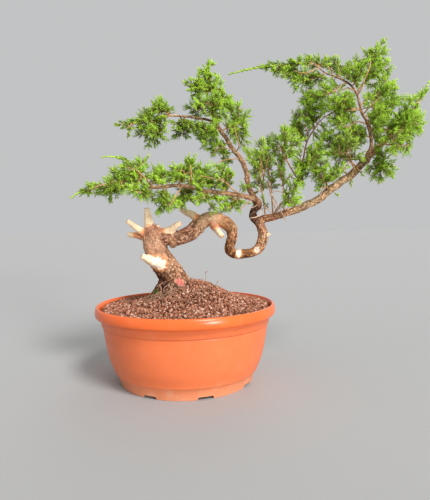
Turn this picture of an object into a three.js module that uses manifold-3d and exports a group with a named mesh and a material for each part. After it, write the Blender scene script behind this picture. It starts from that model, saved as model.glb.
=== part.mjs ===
// A juniper bonsai in a round plastic training pot, in millimetres, +Z up.
// The tree leans left out of a mound of grit, ends its old trunk in stripped stubs, and goes on as one
// winding branch to the right, which forks into three limbs that carry sprays of scale leaf.
// The origin is the middle of the whole plant's footprint box, on the plane the pot's foot stands on.

import * as THREE from "three";
import { mergeVertices } from "three/addons/utils/BufferGeometryUtils.js";
import Module from "manifold-3d";

const wasm = await Module();
wasm.setup();

// Pot
const POT_RADIUS = 120;
const POT_HEIGHT = 102;
const POT_SIDES = 28;
const FOOT_RADIUS = 88.5;
const FOOT_RING = 4.5;
const FLOOR_UNDERSIDE = 4.6;
const FLOOR_TOP = 7.6;
const NOTCH_COUNT = 8;
const NOTCH_FIRST_DEG = 18;
const NOTCH_WIDTH = 20;
const NOTCH_HEIGHT = 3.8;
const DRAIN_RADIUS = 5;
const DRAIN_RING_RADIUS = 52;
const DRAIN_COUNT = 6;

// Soil
const SOIL_LEVEL = 96.5;
const MOUND = { x: 8, y: 4, height: 34, spread: 40 };
const GRIT_RELIEF = 0.8;

// The room between the soil and the pot, the soil and the roots, and a leafy stem's root and its limb, and
// how deep a stem's root is sunk before it is cut to that room
const POT_GAP = 0.35;
const ROOT_BALL_GAP = 0.45;
const STEM_GAP = 0.35;
const STEM_SINK = 0.9;

// Leafy stems, and the three-sided leaf cords that stand out from them. Leans are from the stem, in radians,
// and the two spacings keep cords clear of other sprays and of their own.
const STEM_RADIUS = 1.3;
const STEM_TIP_RADIUS = 0.8;
const STEM_SIDES = 3;
const STEM_TWIST = 0.4;
const BARE_STEP = 18;
const CORD_STEP = 9;
const CORDS_PER_STEP = 2;
const CORD_RADIUS = 1;
const CORD_LEAN_ROOT = 0.95;
const CORD_LEAN_TIP = 0.55;
const CORD_LIFT = 0.25;
const OTHER_SPACING = 0.5;
const OWN_SPACING = 1.7;

// Every point of the tree is [x, z, depth, radius] as the front view shows it in the plane through the
// pot's axis. Depth then slides the point along the line of sight, so the front outline stays as it is.
const EYE = { x: 40, z: 198, distance: 589 };

// The old trunk, from its buried root to the stripped top
const TRUNK = [
  [-5, 76, 0, 16],
  [-7, 98, 0, 20],
  [-10, 120, 0, 21],
  [-17, 136, -2, 18.2],
  [-28, 153, -5, 16.8],
  [-37, 169, -8, 15.2],
  [-41.5, 184, -9, 14.4],
  [-43, 196, -10, 13.2],
  [-43, 204, -10, 8],
];

// The winding branch: over the arch, down, round the low bend and up to the fork
const WINDING = [
  [-36, 189, -9, 10],
  [-22, 189, -9, 10],
  [-6, 190, -5, 9.7],
  [7, 195, 1, 10.1],
  [17, 204, 5, 10.3],
  [28, 212, 4, 9.8],
  [41, 213.5, 0, 9.4],
  [53, 209.5, -5, 8.9],
  [62, 201.5, -8, 8.3],
  [64, 191, -8, 7.3],
  [61, 180.5, -5, 6.9],
  [60.5, 171, 0, 7],
  [67, 166, 5, 6.8],
  [78, 166.5, 8, 6.4],
  [90, 168, 8, 6.4],
  [99.5, 174, 5, 6.7],
  [104.5, 185, 2, 7],
  [104.5, 197, 0, 6.8],
  [101, 206, 0, 6.4],
  [99, 211, 0, 5.6],
];

const LIMBS = {
  knuckle: [
    [100, 208, 0, 5.8],
    [92.5, 216, 4, 5.5],
    [93.5, 225, 6, 5.1],
    [101, 231, 6, 4.7],
  ],
  low_left: [
    [100, 229, 6, 4.4],
    [101, 236, 2, 3.8],
    [92, 241, -4, 3.5],
    [78, 245, -12, 3.2],
    [60, 248, -20, 3],
    [40, 250, -26, 2.9],
    [22, 253, -30, 2.8],
    [5, 257, -32, 2.6],
    [-12, 259, -32, 2.5],
    [-30, 257, -30, 2.3],
    [-45, 258, -28, 2.1],
    [-60, 264, -26, 1.9],
    [-78, 266, -26, 1.7],
    [-98, 263, -28, 1.4],
    [-116, 260, -30, 1.2],
  ],
  upper_left: [
    [99, 229, 6, 4.6],
    [92, 244, 12, 4.2],
    [86, 260, 18, 3.8],
    [83, 276, 22, 3.6],
    [78, 290, 24, 3.5],
    [69, 303, 25, 3.3],
    [60, 316, 24, 3.1],
    [52, 329, 22, 2.9],
    [45, 343, 20, 2.6],
    [38, 358, 18, 2.2],
    [33, 374, 16, 1.9],
    [31, 390, 14, 1.5],
    [31, 402, 12, 1.2],
  ],
  side_left: [
    [47, 340, 20, 2],
    [33, 346, 16, 1.9],
    [15, 349, 10, 1.8],
    [0, 351, 6, 1.7],
    [-15, 352, 2, 1.6],
    [-28, 349, -2, 1.5],
    [-45, 345, -5, 1.3],
    [-62, 342, -8, 1.2],
  ],
  right: [
    [101, 204, 0, 5.8],
    [107, 212, -1, 5.5],
    [120, 216, -3, 5.1],
    [138, 220, -5, 4.9],
    [155, 225.5, -6, 4.9],
    [172, 234, -6, 5],
    [190, 246, -4, 5.3],
    [208, 259, 0, 5.4],
    [225, 272, 5, 5.4],
    [238, 283, 9, 5.1],
    [247, 294, 12, 4.6],
  ],
  leader: [
    [243, 289, 10, 4.4],
    [250, 308, 14, 3.6],
    [249.5, 323, 14, 3.3],
    [246, 338, 11, 3.1],
    [239, 351, 7, 2.9],
    [235, 364, 3, 2.7],
    [232, 376, 0, 2.5],
    [225, 387, -3, 2.3],
    [214, 395, -5, 2.1],
    [201, 400, -6, 1.9],
    [190, 405, -8, 1.7],
    [180, 413, -9, 1.4],
    [171, 418, -10, 1.2],
  ],
  right_arm: [
    [246, 292, 11, 3.8],
    [258, 302, 7, 3.2],
    [270, 314, 0, 2.8],
    [280, 328, -8, 2.4],
    [292, 340, -14, 1.9],
    [304, 352, -18, 1.5],
    [313, 363, -20, 1.2],
  ],
  back_arm: [
    [248, 300, 13, 3],
    [262, 311, 28, 2.5],
    [276, 321, 42, 2.1],
    [290, 329, 54, 1.7],
    [301, 334, 62, 1.2],
  ],
  middle: [
    [148, 222, -5, 3],
    [147, 245, 2, 2.7],
    [153, 268, 8, 2.5],
    [160, 292, 10, 2.3],
    [165, 315, 8, 2.1],
    [176, 333, 4, 1.8],
    [190, 348, 0, 1.5],
    [206, 354, -4, 1.2],
  ],
};

// Stripped stubs and spikes of dead wood, and the knots left by cut branches
const STUBS = [
  [[-48, 196, -12, 8], [-50, 212, -14, 5], [-52, 231, -16, 2.5]],
  [[-48, 193, -10, 6.5], [-63, 202, -15, 3.6], [-78.5, 214, -20, 2]],
  [[-48, 189, -6, 6.5], [-64, 193, -4, 4], [-77, 194.5, 0, 2.8]],
  [[-32, 195, -8, 7], [-19, 200, -14, 4.6], [-4.5, 208.5, -20, 2.6]],
  [[-37, 196, -10, 6], [-37, 207, -15, 2.6]],
  [[-34, 155, -12, 9], [-47, 159.5, -21, 6.2], [-60, 165.5, -26, 2.8]],
  [[22, 211, 4, 6], [10, 221, 8, 4], [-6, 227.5, 14, 2]],
  [[38, 206, -4, 5], [44, 198, -13, 3.8], [51, 189.5, -20, 2.8]],
  [[105, 188, 0, 3.4], [115.5, 193, -4, 1.5]],
  [[-17, 187, -12, 7], [-16, 178, -20, 4.6]],
];

// Surface roots that leave the trunk's foot and go down into the grit
const ROOTS = [
  [[-20, 138, -4, 9], [-36, 124, -12, 5.5], [-47, 104, -20, 2.8]],
  [[-22, 134, -10, 8], [-26, 120, -26, 5], [-32, 98, -38, 2.6]],
  [[-4, 128, -8, 9], [12, 122, -20, 5.5], [26, 106, -30, 2.8]],
  [[-4, 126, 8, 9], [16, 124, 16, 5.5], [34, 106, 24, 3]],
  [[-20, 132, 10, 8], [-30, 120, 24, 5], [-40, 98, 36, 2.6]],
];

// Leafy sprays by the limb they grow on: where along the limb's points, how far the leaf cords reach, how
// much of the first stem is bare, and the stems' tips as [x, z, depth]. A fourth number is where along the
// first stem a fork leaves it, and a fifth is the share of the reach that the fork's cords have.
const SPRAYS = {
  low_left: [
    {
      at: 3.4,
      reach: 12,
      tips: [[74, 229, -24], [56, 231, 4, 0.4], [52, 227, -44, 0.35], [46, 243, -10, 0.2]],
    },
    { at: 4.2, reach: 13, tips: [[61, 273, -40], [47, 269, -56, 0.4], [38, 262, -24, 0.15]] },
    { at: 5.4, reach: 13, tips: [[18, 240, -68], [36, 230, -48, 0.35]] },
    { at: 6.1, reach: 14, tips: [[30, 281, -18], [17, 276, 6, 0.45]] },
    { at: 7, reach: 13, tips: [[-3, 244, -2], [10, 262, 14, 0.45]] },
    { at: 7.7, reach: 14, tips: [[11, 292, -44], [-8, 286, -58, 0.45], [-17, 272, -26, 0.2]] },
    { at: 8.6, reach: 13, tips: [[-32, 229, -44], [-16, 231, -58, 0.45], [-28, 260, -76, 0.3]] },
    { at: 9.2, reach: 14, tips: [[-29, 284, -10], [-44, 280, 8, 0.4]] },
    { at: 9.9, reach: 14, tips: [[-54, 239, -52], [-70, 247, -66, 0.4], [-44, 244, -24, 0.25]] },
    {
      at: 10.8,
      reach: 14,
      tips: [[-60, 293, -30], [-78, 290, -48, 0.4], [-74, 272, 12, 0.2], [-109, 301, -28, 0.8, 0.45]],
    },
    { at: 11.4, reach: 12, tips: [[-87, 282, -12], [-96, 272, 4, 0.4]] },
    { at: 11.7, reach: 14, tips: [[-99, 267, -62], [-84, 250, -56, 0.4]] },
    { at: 12.2, reach: 13, tips: [[-122, 250, 0], [-100, 246, -10, 0.4]] },
    { at: 14, reach: 8, tips: [[-149, 244, -34], [-131, 263, -48, 0.15, 1.3]] },
  ],
  side_left: [
    { at: 2.8, reach: 12, tips: [[-10, 327, 18], [6, 330, 30, 0.4], [-12, 341, -4, 0.15]] },
    { at: 4.2, reach: 13, tips: [[-25, 371, -6], [-43, 365, -22, 0.45]] },
    { at: 5, reach: 13, tips: [[-46, 317, 4], [-62, 326, 18, 0.4], [-42, 332, -34, 0.25]] },
    { at: 5.6, reach: 13, tips: [[-63, 350, 6], [-46, 356, 18, 0.4]] },
    { at: 7, reach: 8, tips: [[-87, 336, -12], [-72, 328, -26, 0.2, 1.4]] },
  ],
  upper_left: [
    { at: 6, reach: 13, tips: [[38, 307, 12], [26, 318, 32, 0.4], [50, 290, 36, 0.3]] },
    { at: 7.1, reach: 14, tips: [[84, 351, 38], [74, 361, 16, 0.4], [85, 333, 14, 0.3], [73, 320, 34, 0.2]] },
    { at: 7.3, reach: 14, tips: [[20, 329, -2], [26, 345, -22, 0.35]] },
    { at: 8.8, reach: 14, tips: [[43, 377, -20], [23, 366, -26, 0.45], [53, 351, 2, 0.15]] },
    { at: 9.2, reach: 14, tips: [[7, 364, 24], [14, 354, 40, 0.4]] },
    { at: 9.6, reach: 14, tips: [[65, 377, 36], [56, 366, 52, 0.4]] },
    { at: 10.3, reach: 13, tips: [[46, 399, 28], [57, 388, 14, 0.4]] },
    { at: 10.8, reach: 12, tips: [[5, 398, 4], [12, 387, -12, 0.45]] },
    { at: 12, reach: 10, tips: [[38, 418, 12], [25, 408, 0, 0.2]] },
  ],
  right: [
    {
      at: 1.3,
      reach: 14,
      bare: 0.35,
      tips: [[102, 312, -40], [83, 293, -52, 0.55], [88, 272, -36, 0.4], [93, 254, -20, 0.3, 0.8]],
    },
    { at: 2, reach: 14, bare: 0.3, tips: [[114, 316, 42], [96, 298, 36, 0.5], [126, 268, 22, 0.35]] },
    {
      at: 2.8,
      reach: 14,
      bare: 0.3,
      tips: [
        [136, 328, -48],
        [154, 314, -60, 0.6],
        [139, 237, -34, 0.12],
        [125, 286, -40, 0.4],
        [148, 272, -34, 0.35],
      ],
    },
    { at: 6.2, reach: 12, bare: 0.25, tips: [[174, 268, -30], [188, 276, -42, 0.5], [206, 270, -24, 0.3]] },
    { at: 7.8, reach: 14, bare: 0.35, tips: [[190, 326, 62], [226, 330, 66, 0.5], [237, 312, 48, 0.45]] },
    { at: 8.5, reach: 13, bare: 0.25, tips: [[204, 303, -36], [223, 311, -50, 0.5], [232, 298, -22, 0.35]] },
  ],
  middle: [
    { at: 2.2, reach: 14, tips: [[165, 281, -26], [180, 296, -38, 0.4], [157, 262, -18, 0.15]] },
    { at: 3, reach: 14, tips: [[188, 285, 28], [180, 262, 34, 0.4]] },
    { at: 4, reach: 14, tips: [[146, 346, 28], [152, 334, 46, 0.4], [132, 322, 10, 0.4]] },
    { at: 5, reach: 14, tips: [[169, 394, 16], [159, 374, 2, 0.5], [176, 354, -14, 0.3]] },
    { at: 7, reach: 13, tips: [[224, 373, 14], [228, 338, -16, 0.25], [198, 328, -36, 0.2]] },
  ],
  leader: [
    { at: 1.8, reach: 13, tips: [[222, 328, -34], [209, 341, -50, 0.5]] },
    { at: 2.3, reach: 14, bare: 0.2, tips: [[272, 345, 52], [256, 366, 54, 0.5], [263, 323, 36, 0.2]] },
    { at: 3, reach: 14, tips: [[262, 354, -44], [247, 371, -52, 0.5]] },
    { at: 3.6, reach: 14, bare: 0.2, tips: [[294, 367, 8], [280, 362, -18, 0.5]] },
    { at: 4.4, reach: 14, tips: [[202, 367, -44], [216, 374, -60, 0.5]] },
    { at: 4.8, reach: 14, bare: 0.2, tips: [[283, 391, 36], [271, 401, 50, 0.5]] },
    {
      at: 6.2,
      reach: 13,
      bare: 0.25,
      tips: [[266, 438, 18], [252, 428, 2, 0.6], [275, 411, 12, 0.5], [246, 395, -4, 0.25]],
    },
    { at: 7, reach: 13, tips: [[243, 416, -20], [226, 409, -32, 0.45]] },
    { at: 7.6, reach: 13, tips: [[172, 375, -36], [188, 385, -48, 0.5]] },
    { at: 8.8, reach: 13, tips: [[221, 411, 16], [236, 416, 30, 0.4]] },
    { at: 10, reach: 12, tips: [[124, 408, -6], [138, 417, 16, 0.5], [150, 394, -22, 0.2]] },
    { at: 11, reach: 12, tips: [[186, 425, 4], [202, 416, 14, 0.4]] },
    { at: 12, reach: 7, tips: [[64, 406, 8], [114, 419, 16, 0.45, 1.3], [155, 427, -14, 0.1, 1.6]] },
  ],
  right_arm: [
    { at: 0.9, reach: 13, tips: [[264, 267, -14], [279, 286, -28, 0.4], [247, 277, -8, 0.3]] },
    {
      at: 3.2,
      reach: 14,
      tips: [[305, 366, -42], [312, 335, -46, 0.4], [293, 320, -52, 0.4], [267, 322, -34, 0.15]],
    },
    { at: 4.4, reach: 14, tips: [[316, 341, -10], [311, 355, 8, 0.4]] },
    { at: 6, reach: 8, tips: [[325, 385, -24], [319, 370, -6, 0.1, 1.3]] },
  ],
  back_arm: [
    { at: 4, reach: 13, tips: [[312, 350, 74], [302, 311, 60, 0.2]] },
  ],
};

const plastic = new THREE.MeshStandardMaterial({ color: 0xdf6b3f, roughness: 0.45, metalness: 0 });
const grit = new THREE.MeshStandardMaterial({ color: 0x7d5a4e, roughness: 0.95, metalness: 0 });
const bark = new THREE.MeshStandardMaterial({ color: 0x7c5742, roughness: 0.9, metalness: 0 });
const leaf = new THREE.MeshStandardMaterial({ color: 0x5d9a32, roughness: 0.7, metalness: 0 });

// A repeatable stream of numbers from 0 to 1
function seeded(seed) {
  let state = seed >>> 0;
  return () => {
    state = (state + 0x6d2b79f5) >>> 0;
    let t = Math.imul(state ^ (state >>> 15), state | 1);
    t ^= t + Math.imul(t ^ (t >>> 7), t | 61);
    return ((t ^ (t >>> 14)) >>> 0) / 4294967296;
  };
}

// The point that the front view shows at x, z, moved along the line of sight to its depth
function place([x, z, depth]) {
  const stretch = (EYE.distance + depth) / EYE.distance;
  return new THREE.Vector3(
    EYE.x + (x - EYE.x) * stretch,
    depth,
    EYE.z + (z - EYE.z) * stretch,
  );
}

function curveOf(points) {
  return new THREE.CatmullRomCurve3(points.map(place), false, "catmullrom", 0.5);
}

// The radius at a place along a list of points, counted in points
function radiusAt(points, index) {
  const low = Math.min(Math.floor(index), points.length - 2);
  return THREE.MathUtils.lerp(points[low][3], points[low + 1][3], index - low);
}

// A closed three.js geometry as a solid
function solidOf(geometry) {
  const bare = geometry.clone();
  bare.deleteAttribute("normal");
  bare.deleteAttribute("uv");
  const merged = mergeVertices(bare, 1e-4);
  return new wasm.Manifold(
    new wasm.Mesh({
      numProp: 3,
      vertProperties: new Float32Array(merged.attributes.position.array),
      triVerts: new Uint32Array(merged.index.array),
    }),
  );
}

function meshOf(name, solid, material) {
  const made = solid.getMesh();
  const geometry = new THREE.BufferGeometry();
  geometry.setAttribute("position", new THREE.BufferAttribute(made.vertProperties, 3));
  geometry.setIndex(new THREE.BufferAttribute(made.triVerts, 1));
  geometry.computeVertexNormals();
  const mesh = new THREE.Mesh(geometry, material);
  mesh.name = name;
  return mesh;
}

// A tube of changing radius round a curve, closed by flat ends. The frame is carried along without twist.
// shape(angle, step) scales the radius, for bark that isn't round.
function tube(curve, radius, sides, steps, shape = () => 1) {
  const positions = [];
  const index = [];
  const side = new THREE.Vector3(0, 1, 0);
  for (let i = 0; i <= steps; i += 1) {
    const centre = curve.getPoint(i / steps);
    const tangent = curve.getTangent(i / steps);
    side.addScaledVector(tangent, -side.dot(tangent)).normalize();
    const across = new THREE.Vector3().crossVectors(tangent, side);
    for (let k = 0; k < sides; k += 1) {
      const angle = (k / sides) * 2 * Math.PI;
      const r = radius(i / steps) * shape(angle, i);
      const point = centre
        .clone()
        .addScaledVector(side, r * Math.cos(angle))
        .addScaledVector(across, r * Math.sin(angle));
      positions.push(point.x, point.y, point.z);
    }
  }
  for (let i = 0; i < steps; i += 1) {
    for (let k = 0; k < sides; k += 1) {
      const a = i * sides + k;
      const b = i * sides + ((k + 1) % sides);
      index.push(a, b, b + sides, a, b + sides, a + sides);
    }
  }
  const last = steps * sides;
  for (let k = 1; k < sides - 1; k += 1) {
    index.push(0, k + 1, k);
    index.push(last, last + k, last + k + 1);
  }
  const geometry = new THREE.BufferGeometry();
  geometry.setAttribute("position", new THREE.BufferAttribute(new Float32Array(positions), 3));
  geometry.setIndex(index);
  return solidOf(geometry);
}

// A limb through its points, swollen where asked, ends included
function limb(points, sides, stepsPerPoint, swell = 0, shape = () => 1) {
  const last = points.length - 1;
  const radius = (t) => radiusAt(points, t * last) + swell;
  const curve = curveOf(points);
  const [first, end] = [curve.getTangent(0), curve.getTangent(1)];
  curve.points[0].addScaledVector(first, -swell);
  curve.points[last].addScaledVector(end, swell);
  return tube(curve, radius, sides, Math.round(last * stepsPerPoint), shape);
}

// Bark that stands out in long ridges, which wander a little along the limb
function ridged(height, count) {
  return (angle, step) =>
    1 + height * Math.sin(count * angle + step * 0.5) + 0.5 * height * Math.sin(2 * angle - step * 0.9);
}

// What stands in the grit: the trunk's foot and the surface roots, swollen by the clearance of their holes
function footing(swell) {
  return wasm.Manifold.union([
    limb(TRUNK, 10, 1.25, swell, ridged(0.04, 4)),
    ...ROOTS.map((root) => limb(root, 5, 1.5, swell)),
  ]);
}

// The main body of a cut solid, without scraps
function mainBody(solid) {
  return solid.decompose().sort((a, b) => b.volume() - a.volume())[0];
}

// The whole tree's wood, swollen by the room that the leafy stems keep to it
function wood(swell) {
  const ridges = ridged(0.05, 3);
  return wasm.Manifold.union([
    footing(swell),
    limb(WINDING, 8, 1.3, swell, ridges),
    ...STUBS.map((stub) => limb(stub, 6, 1, swell)),
    limb(LIMBS.knuckle, 7, 1.4, swell),
    limb(LIMBS.low_left, 6, 1.1, swell),
    limb(LIMBS.upper_left, 6, 1.1, swell),
    limb(LIMBS.side_left, 5, 1.1, swell),
    limb(LIMBS.right, 7, 1.1, swell, ridges),
    limb(LIMBS.leader, 6, 1.1, swell),
    limb(LIMBS.right_arm, 5, 1.1, swell),
    limb(LIMBS.back_arm, 5, 1.1, swell),
    limb(LIMBS.middle, 5, 1.1, swell),
  ]);
}

function lathe(outline, sides) {
  const profile = outline.map(([r, z]) => new THREE.Vector2(r, z));
  return solidOf(new THREE.LatheGeometry(profile, sides).rotateX(Math.PI / 2));
}

// The wall's two outlines as [radius, height], from below the rim band down
const WALL_OUTSIDE = [
  [110.6, 76],
  [106.2, 51],
  [101.4, 31],
  [95.8, 16.5],
  [92, 15],
];
const WALL_INSIDE = [
  [108, 76],
  [103.6, 51],
  [98.8, 31],
  [93, 19.5],
  [89, 14.5],
  [86, FLOOR_TOP],
];

function pot() {
  const body = lathe(
    [
      [0, FLOOR_UNDERSIDE],
      [FOOT_RADIUS - FOOT_RING, FLOOR_UNDERSIDE],
      [FOOT_RADIUS - FOOT_RING, 0],
      [FOOT_RADIUS, 0],
      ...WALL_OUTSIDE.slice().reverse(),
      [112, 77.2],
      [113.2, 88.6],
      [POT_RADIUS - 1, 89.6],
      [POT_RADIUS, 91.5],
      [POT_RADIUS, POT_HEIGHT - 2.5],
      [POT_RADIUS - 1.6, POT_HEIGHT],
      [POT_RADIUS - 4.2, POT_HEIGHT],
      [POT_RADIUS - 6.5, POT_HEIGHT - 4],
      [110.6, 86],
      ...WALL_INSIDE,
      [0, FLOOR_TOP],
    ],
    POT_SIDES,
  );
  const cuts = [];
  for (let i = 0; i < NOTCH_COUNT; i += 1) {
    const turn = THREE.MathUtils.degToRad(NOTCH_FIRST_DEG + (i * 360) / NOTCH_COUNT);
    const notch = new THREE.BoxGeometry(NOTCH_WIDTH, 4 * FOOT_RING, 2 * NOTCH_HEIGHT);
    notch.translate(0, -FOOT_RADIUS, 0).rotateZ(turn);
    cuts.push(solidOf(notch));
  }
  for (let i = 0; i < DRAIN_COUNT; i += 1) {
    const drain = new THREE.CylinderGeometry(DRAIN_RADIUS, DRAIN_RADIUS, 4 * FLOOR_TOP, 6);
    drain.rotateX(Math.PI / 2).translate(DRAIN_RING_RADIUS, 0, 0);
    drain.rotateZ(((i + 0.5) * 2 * Math.PI) / DRAIN_COUNT);
    cuts.push(solidOf(drain));
  }
  return body.subtract(wasm.Manifold.union(cuts));
}

// The grit's height: level near the wall, mounded up round the trunk, with the grains as low relief
function gritHeight(x, y) {
  const away = (x - MOUND.x) ** 2 + (y - MOUND.y) ** 2;
  const mound = MOUND.height * Math.exp(-away / (2 * MOUND.spread ** 2));
  const grains = Math.sin(x * 0.83 + y * 0.31) * Math.cos(y * 0.71 - x * 0.27);
  return SOIL_LEVEL + mound + GRIT_RELIEF * grains;
}

function soil() {
  const inside = WALL_INSIDE.map(([r, z]) => [r - 1.3 * POT_GAP, Math.max(z, FLOOR_TOP + POT_GAP)]).reverse();
  const rings = [92, 68, 48, 28];
  const outline = [
    [0, FLOOR_TOP + POT_GAP],
    ...inside,
    [110.1, 86],
    [112, SOIL_LEVEL - 3],
    ...rings.map((r) => [r, SOIL_LEVEL]),
    [0, SOIL_LEVEL],
  ];
  const profile = outline.map(([r, z]) => new THREE.Vector2(r, z));
  const geometry = new THREE.LatheGeometry(profile, POT_SIDES).rotateX(Math.PI / 2);
  const position = geometry.attributes.position;
  for (let i = 0; i < position.count; i += 1) {
    if (position.getZ(i) > SOIL_LEVEL - 0.01) {
      position.setZ(i, gritHeight(position.getX(i), position.getY(i)));
    }
  }
  return solidOf(geometry).subtract(footing(ROOT_BALL_GAP));
}

// Round-ended segments, which stand for everything that grows when testing for room: { a, b, radius, owner }
const occupied = [];

// The shortest distance between two segments
function segmentDistance(p, q, r, s) {
  const u = q.clone().sub(p);
  const v = s.clone().sub(r);
  const w = p.clone().sub(r);
  const [a, b, c, d, e] = [u.dot(u), u.dot(v), v.dot(v), u.dot(w), v.dot(w)];
  const det = a * c - b * b;
  let along = det < 1e-9 ? 0 : THREE.MathUtils.clamp((b * e - c * d) / det, 0, 1);
  const other = THREE.MathUtils.clamp((b * along + e) / c, 0, 1);
  along = THREE.MathUtils.clamp((b * other - d) / a, 0, 1);
  return w.addScaledVector(u, along).addScaledVector(v, -other).length();
}

function occupyLimb(points) {
  const curve = curveOf(points);
  const last = points.length - 1;
  const steps = 2 * last;
  for (let i = 0; i < steps; i += 1) {
    occupied.push({
      a: curve.getPoint(i / steps),
      b: curve.getPoint((i + 1) / steps),
      radius: radiusAt(points, (i / steps) * last) * 1.05,
      owner: "wood",
    });
  }
}

// A stem from its root to its tip, which leaves along start and then turns to the tip
function stemCurve(root, start, tip) {
  const knee = root.clone().lerp(tip, 0.35).addScaledVector(start, 0.22 * root.distanceTo(tip));
  return new THREE.QuadraticBezierCurve3(root, knee, tip);
}

// The stems of one spray. The first runs from just inside the limb, or on from the limb's end, to the first
// tip, and the others fork off it.
function stemsOf(name, on, spray) {
  const points = LIMBS[on];
  const last = points.length - 1;
  const curve = curveOf(points);
  const from = curve.getPoint(spray.at / last);
  const tangent = curve.getTangent(spray.at / last);
  const [first, ...forks] = spray.tips;
  const tip = place(first);
  const start = tip.clone().sub(from);
  if (spray.at === last) {
    from.addScaledVector(start.copy(tangent), 1.2 * STEM_GAP);
  } else {
    start.addScaledVector(tangent, -start.dot(tangent)).normalize();
    from.addScaledVector(start, radiusAt(points, spray.at) - STEM_SINK);
  }
  const main = stemCurve(from, start, tip);
  const stems = [{ curve: main, bare: spray.bare ?? 0.1, reach: spray.reach }];
  for (const fork of forks) {
    const [, , , along, share = 1] = fork;
    const branch = stemCurve(main.getPoint(along), main.getTangent(along), place(fork));
    stems.push({ curve: branch, bare: 0.15, reach: spray.reach * share });
  }
  return stems.map((stem, i) => ({ ...stem, owner: name, id: `${name}/${i}` }));
}

function occupyStem(stem) {
  const points = stem.curve.getPoints(10);
  points.slice(1).forEach((b, i) => {
    const radius = THREE.MathUtils.lerp(STEM_RADIUS, STEM_TIP_RADIUS, i / 10);
    occupied.push({ a: points[i], b, radius, owner: stem.owner, stem: stem.id });
  });
}

// Turns about the stem, in radians, and shares of the full length, in the order they are tried
const TRIES = [
  [0, 1],
  [0.45, 1],
  [-0.45, 1],
  [0, 0.8],
  [0.45, 0.75],
  [-0.45, 0.75],
  [0, 0.55],
];

// A tip for the leaf cord that stands on one facet of a stem, turned or shortened until it passes clear of
// everything else, or null where there is no room
function cordTip(stem, [a, b, c], tangent, lean, reach) {
  const foot = a.clone().add(b).add(c).divideScalar(3);
  const normal = new THREE.Vector3().crossVectors(b.clone().sub(a), c.clone().sub(a));
  normal.addScaledVector(tangent, -normal.dot(tangent)).normalize();
  for (const [turn, size] of TRIES) {
    const out = normal.clone().applyAxisAngle(tangent, turn);
    const way = tangent.clone().multiplyScalar(Math.cos(lean)).addScaledVector(out, Math.sin(lean));
    way.z += CORD_LIFT * (1 + out.z) * 0.5;
    way.normalize();
    const low = foot.clone().addScaledVector(way, CORD_RADIUS);
    const tip = foot.clone().addScaledVector(way, reach * size);
    const middle = foot.clone().lerp(tip, 0.5);
    const free = occupied.every((o) => {
      const start = o.stem === stem.id && !o.cord ? middle : low;
      const room = o.owner === stem.owner ? OWN_SPACING : CORD_RADIUS + OTHER_SPACING + o.radius;
      return segmentDistance(start, tip, o.a, o.b) > room;
    });
    if (free) {
      occupied.push({ a: low, b: tip, radius: CORD_RADIUS, owner: stem.owner, stem: stem.id, cord: true });
      return tip;
    }
  }
  return null;
}

// A leafy stem as one closed surface: a slim three-sided tube with a slow twist, of which two facets in
// every step are drawn out to the tips of leaf cords. The stem's own end is drawn out the same way.
function leafyStem(stem, random) {
  const { reach } = stem;
  const length = stem.curve.getLength();
  const bareSteps = Math.max(1, Math.round((length * stem.bare) / BARE_STEP));
  const leafySteps = Math.max(3, Math.round((length * (1 - stem.bare)) / CORD_STEP));
  const steps = bareSteps + leafySteps;
  const along = (i) => {
    const leafy = (i - bareSteps) / leafySteps;
    return i < bareSteps ? (stem.bare * i) / bareSteps : stem.bare + (1 - stem.bare) * leafy;
  };
  const points = [];
  const tangents = [];
  const side = new THREE.Vector3(0.3, 1, 0.1);
  for (let i = 0; i <= steps; i += 1) {
    const t = along(i);
    const centre = stem.curve.getPoint(t);
    const tangent = stem.curve.getTangent(t);
    tangents.push(tangent);
    side.addScaledVector(tangent, -side.dot(tangent)).normalize();
    const across = new THREE.Vector3().crossVectors(tangent, side);
    const radius = THREE.MathUtils.lerp(STEM_RADIUS, STEM_TIP_RADIUS, t);
    for (let k = 0; k < STEM_SIDES; k += 1) {
      const angle = (k / STEM_SIDES) * 2 * Math.PI + Math.max(0, i - bareSteps) * STEM_TWIST;
      points.push(
        centre
          .clone()
          .addScaledVector(side, radius * Math.cos(angle))
          .addScaledVector(across, radius * Math.sin(angle)),
      );
    }
  }
  const index = [];
  const drawOut = (a, b, c, tip) => {
    points.push(tip);
    const last = points.length - 1;
    index.push(a, b, last, b, c, last, c, a, last);
  };
  const end = steps * STEM_SIDES;
  const tipCord = stem.curve.getPoint(1).addScaledVector(tangents[steps], 0.55 * reach);
  index.push(0, 2, 1);
  drawOut(end, end + 1, end + 2, tipCord);
  for (let i = 0; i < steps; i += 1) {
    const share = Math.max(0, i - bareSteps) / leafySteps;
    const lean = THREE.MathUtils.lerp(CORD_LEAN_ROOT, CORD_LEAN_TIP, share);
    const size = reach * (0.8 + 0.4 * Math.sin(Math.PI * share)) * (0.85 + 0.3 * random());
    let wanted = i < bareSteps ? 0 : CORDS_PER_STEP;
    for (let j = 0; j < STEM_SIDES; j += 1) {
      const k = (2 * i + j) % STEM_SIDES;
      const a = i * STEM_SIDES + k;
      const b = i * STEM_SIDES + ((k + 1) % STEM_SIDES);
      const lower = [a, b, b + STEM_SIDES];
      const upper = [a, b + STEM_SIDES, a + STEM_SIDES];
      const [chosen, other] = j % 2 === 0 ? [lower, upper] : [upper, lower];
      const facet = chosen.map((vertex) => points[vertex]);
      const tip = wanted > 0 ? cordTip(stem, facet, tangents[i], lean, size) : null;
      if (tip) {
        drawOut(...chosen, tip);
        wanted -= 1;
      } else {
        index.push(...chosen);
      }
      index.push(...other);
    }
  }
  const geometry = new THREE.BufferGeometry();
  geometry.setAttribute(
    "position",
    new THREE.BufferAttribute(new Float32Array(points.flatMap((point) => point.toArray())), 3),
  );
  geometry.setIndex(index);
  return solidOf(geometry);
}

[TRUNK, WINDING, ...STUBS, ...ROOTS, ...Object.values(LIMBS)].forEach(occupyLimb);

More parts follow.
